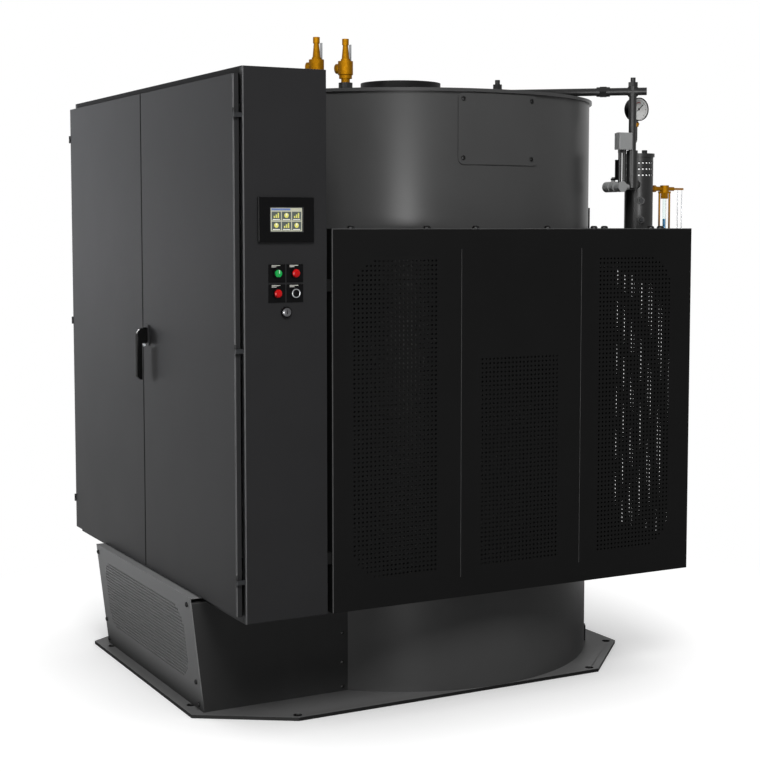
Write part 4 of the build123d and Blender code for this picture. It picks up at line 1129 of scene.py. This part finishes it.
# backlit display glass: flat colours that stay bright in the shade
screen_pale = lit("screen_pale_panel", "#b9b9a4", 0.35)
screen_tile = lit("screen_dark_tile", "#4a5450", 0.2)
screen_sign = lit("screen_yellow_sign", "#d8d46c", 0.4)
screen_white = lit("screen_white_sign", "#eeeee6", 0.4)
screen_blue = lit("screen_blue_header", "#5d74a8", 0.35)
print("screen colours:", [m.name for m in (
    screen_pale, screen_tile, screen_sign, screen_white, screen_blue)])

# %% [markdown]
# Each colour is a thin plate in front of the glass, placed by shares of the screen's width and height. A
# picture would need an image file, and plates stay sharp from near by.

# %% Screen page
screen_low, screen_high = box_of("display_screen")
plate_thickness = 0.15


def on_screen(across, up, lift):
    """A point in front of the screen, from shares of its width and height and a lift in millimetres."""
    return Vector((screen_low.x + across * (screen_high.x - screen_low.x), screen_low.y - lift * MM,
                   screen_low.z + up * (screen_high.z - screen_low.z)))


def screen_plate(bm, left, right, foot, head, lift):
    """A thin plate on the screen; its sides are shares of the screen's width and height."""
    add_block(bm, on_screen(left, foot, lift + plate_thickness), on_screen(right, head, lift))


bm = bmesh.new()
screen_plate(bm, 0.02, 0.98, 0.03, 0.97, 0.0)
settle_drawn("screen_page", bm, screen_pale)
bm = bmesh.new()
screen_plate(bm, 0.04, 0.62, 0.87, 0.95, 0.2)
settle_drawn("screen_header", bm, screen_blue)

# %% [markdown]
# Every tile holds one plain sign, by turns a row of three bars and a disc with a short stroke, over a pale
# line. Tiles, signs and lines are one piece each.

# %% Screen tiles
tile_width, tile_height = 0.28, 0.35
sign_radius = 8
tiles, signs, lights = bmesh.new(), bmesh.new(), bmesh.new()
for column in range(3):
    for row in range(2):
        left, foot = 0.05 + 0.31 * column, 0.07 + 0.40 * row
        screen_plate(tiles, left, left + tile_width, foot, foot + tile_height, 0.2)
        sign_x, sign_z = left + tile_width / 2, foot + 0.2
        if (column + row) % 2:
            for bar in (0.0, 0.06, 0.12):
                screen_plate(signs, sign_x - 0.08 + bar, sign_x - 0.04 + bar,
                             sign_z - 0.1, sign_z - 0.02 + bar, 0.4)
        else:
            disc = ((sign_radius, 0), (sign_radius, plate_thickness))
            add_turned(signs, disc, on_screen(sign_x, sign_z, 0.35), (0, -1, 0), 20)
            screen_plate(lights, sign_x - 0.02, sign_x + 0.02, sign_z, sign_z + 0.08, 0.6)
        screen_plate(lights, left + 0.03, left + 0.25, foot + 0.02, foot + 0.05, 0.4)
settle_drawn("screen_tiles", tiles, screen_tile)
settle_drawn("screen_signs", signs, screen_sign)
settle_drawn("screen_lights", lights, screen_white)

# %% [markdown]
# ## Operators
#
# Four operators stand in a square under the screen: a green selector, which is a solid that turns, two red
# caps, and a black button in a steel ring. The caps are low turned domes in front of the collars.

# %% Operator caps
operator_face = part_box("operators")[0][1]
operator_x = (-962.5 * MM, -897.5 * MM)
operator_z = (1502 * MM, 1568 * MM)
cap_profile = ((13.5, 0.0), (13.5, 2.5), (12.0, 4.5), (7.0, 5.6), (3.0, 5.9))
button_profile = ((10.5, 0.0), (10.5, 1.6), (9.0, 2.4))
ring_profile = ((15.0, 0.0), (15.0, 2.2), (12.0, 2.2), (12.0, 0.0))
upper_right, lower_left, lower_right = (
    (operator_x[column], operator_face, operator_z[row]) for column, row in ((1, 1), (0, 0), (1, 0)))
bm = bmesh.new()
for place in (upper_right, lower_left):
    add_turned(bm, cap_profile, place, (0, -1, 0), 32)
settle_drawn("red_caps", bm, moulded_red, smooth=True)
bm = bmesh.new()
add_turned(bm, button_profile, lower_right, (0, -1, 0), 32)
settle_drawn("black_button", bm, moulded_black, smooth=True)
bm = bmesh.new()
add_turned(bm, ring_profile, lower_right, (0, -1, 0), 32, as_ring=True)
settle_drawn("button_ring", bm, turned_steel, smooth=True)

# %% [markdown]
# ### Legend plates and key lock
#
# Each legend plate carries two short printed bars. The lock below them is a low chromed disc with a dark
# slot for the key.

# %% Legend bars and lock
legend_thickness, ink = 2 * MM, 0.25 * MM
legend_face = front_low.y - legend_thickness
bm = bmesh.new()
for x in operator_x:
    for z in operator_z:
        for left, right, foot, head in ((-19, 12, 25, 27.2), (-19, -2, 20.5, 22.7)):
            add_block(bm, (x + left * MM, legend_face - ink, z + foot * MM),
                      (x + right * MM, legend_face, z + head * MM))
settle_drawn("legend_bars", bm, ivory_print)

lock_at = MM * Vector((-930, -920, 1440))
lock_profile = ((15, 0), (15, 2), (13, 3.5), (6, 4))
bm = bmesh.new()
add_turned(bm, lock_profile, lock_at, (0, -1, 0), 32)
settle_drawn("lock_face", bm, dark_chrome, smooth=True)
bm = bmesh.new()
add_block(bm, lock_at + MM * Vector((-1.5, -4.6, -6)), lock_at + MM * Vector((1.5, -3.8, 6)))
settle_drawn("lock_slot", bm, moulded_black)

# %% [markdown]
# ## Stage
#
# A pale floor under a white surround. The floor is lit and keeps the boiler's shadow. For the camera it also
# glows, less where the ambient occlusion node finds the boiler close, which paints a soft contact shadow
# round its foot. Away from the boiler the floor turns into the same white as the surround, so no horizon
# shows.


# %% Floor finish
def shown_rays(tree):
    """The light path's outputs, and a value that is 1 for rays that show what they hit."""
    path = add_node(tree, "ShaderNodeLightPath").outputs
    shown = add_node(tree, "ShaderNodeMath", {
        0: path["Is Camera Ray"], 1: path["Is Glossy Ray"]}, operation="MAXIMUM")
    return path, add_node(tree, "ShaderNodeMath", {
        0: shown, 1: path["Is Transmission Ray"]}, operation="MAXIMUM")


white, floor_grey = linear("#ffffff"), linear("#cbcbcb")
fade_start, fade_end = 1.3, 2.3
sky_reach, painted_glow_strength = 0.85, 0.95
# matt studio paper: pale and without gloss; it keeps the lamps' shadow and a painted contact shadow
floor_finish = bpy.data.materials.new("pale_studio_floor")
floor_finish.use_nodes = True
floor_finish.node_tree.nodes.clear()
floor_node = partial(add_node, floor_finish.node_tree)
spread = floor_node("ShaderNodeVectorMath", {
    0: floor_node("ShaderNodeTexCoord").outputs["Object"]}, operation="LENGTH").outputs["Value"]
fade = floor_node("ShaderNodeMapRange", {
    "Value": spread, "From Min": fade_start, "From Max": fade_end}, interpolation_type="SMOOTHSTEP")
path, shown = shown_rays(floor_finish.node_tree)
blend = floor_node("ShaderNodeMath", {0: fade, 1: shown}, operation="MULTIPLY")
# painted contact shadow: the floor's glow for camera rays is scaled by how open the space above it is
open_sky = floor_node("ShaderNodeAmbientOcclusion", {"Distance": sky_reach}, samples=8).outputs["AO"]
lift = floor_node("ShaderNodeMath", {0: path["Is Camera Ray"], 1: open_sky}, operation="MULTIPLY")
lift = floor_node("ShaderNodeMath", {0: lift, 1: painted_glow_strength}, operation="MULTIPLY")
floor_with_painted_glow = floor_node("ShaderNodeAddShader", {
    0: floor_node("ShaderNodeBsdfDiffuse", {"Color": floor_grey}),
    1: floor_node("ShaderNodeEmission", {"Color": white, "Strength": lift})})
plain_white = floor_node("ShaderNodeEmission", {"Color": white, "Strength": 1.0})
mixed = floor_node("ShaderNodeMixShader", {0: blend, 1: floor_with_painted_glow, 2: plain_white})
floor_node("ShaderNodeOutputMaterial", {"Surface": mixed})
print("floor finish:", len(floor_finish.node_tree.nodes), "nodes")

# %% [markdown]
# The floor itself is one large square.

# %% Floor
floor_half = 40
floor_mesh = bpy.data.meshes.new("floor")
floor_corners = [(x * floor_half, y * floor_half, 0) for x, y in ((-1, -1), (1, -1), (1, 1), (-1, 1))]
floor_mesh.from_pydata(floor_corners, [], [(0, 1, 2, 3)])
floor = put("floor", floor_mesh)
floor_mesh.materials.append(floor_finish)
print("floor", 2 * floor_half, "m across")

# %% [markdown]
# ### Surround
#
# What the camera sees behind the boiler is plain white, and so is what glass and glossy paint show. As a
# light the surround is much weaker, so that the lamps do the shading.

# %% Surround
world = bpy.data.worlds.new("surround")
world.use_nodes = True
bpy.context.scene.world = world
world.node_tree.nodes.clear()
world_node = partial(add_node, world.node_tree)
_, shown = shown_rays(world.node_tree)
mixed = world_node("ShaderNodeMixShader", {
    0: shown,
    1: world_node("ShaderNodeBackground", {"Color": white, "Strength": 0.18}),
    2: world_node("ShaderNodeBackground", {"Color": white, "Strength": 1.0})})
world_node("ShaderNodeOutputWorld", {"Surface": mixed})
print("surround:", len(world.node_tree.nodes), "nodes")

# %% [markdown]
# ### Lamps
#
# Softboxes, as in a photo studio. Some give only shading and some only a glint, because on dark coats the
# two need very different strengths. A cool key lamp grazes the doors from behind and a large one lights the
# front from above. A low one and an upright strip draw highlights, and three small ones curve along the
# handle.


# %% Lamps
def lamp(name, place, target, size, power, gives, spread=180, colour=(1.0, 1.0, 1.0)):
    """A softbox that looks at a point; it gives shade or glint only, and a narrow spread keeps it local."""
    light = bpy.data.lights.new(name, "AREA")
    light.shape = "RECTANGLE"
    light.size, light.size_y = size
    light.energy = power
    light.spread = math.radians(spread)
    light.color = colour
    holder = put(name, light)
    holder.location = place
    holder.rotation_euler = (Vector(target) - Vector(place)).to_track_quat("-Z", "Y").to_euler()
    holder.visible_glossy = gives == "glint"
    holder.visible_diffuse = gives == "shade"


lamp("key_softbox", (-3.3, 4.6, 1.5), (-1.1, 0.7, 2.4), (0.7, 1.0), 80, "shade", 52, (0.93, 0.96, 1.0))
lamp("front_softbox", (-2.2, -5.4, 5.8), (0, 0, 0.9), (3.0, 2.4), 300, "shade")
lamp("low_front_softbox", (-3.87, -7.86, 1.0), (-0.35, -0.67, 1.7), (1.3, 1.2), 1100, "glint")
lamp("edge_strip", (-5.7, -2.84, 1.4), (-1.1, -0.91, 1.4), (0.3, 2.6), 500, "glint")
for step, (x, z) in enumerate(((-1.4, 2.95), (-1.95, 2.6), (-2.5, 2.25))):
    lamp(f"handle_softbox_{step}", (x, 4.65, z), (-1.12, -1.2, 0.6), (0.55, 0.35), 0.25, "glint", 20)
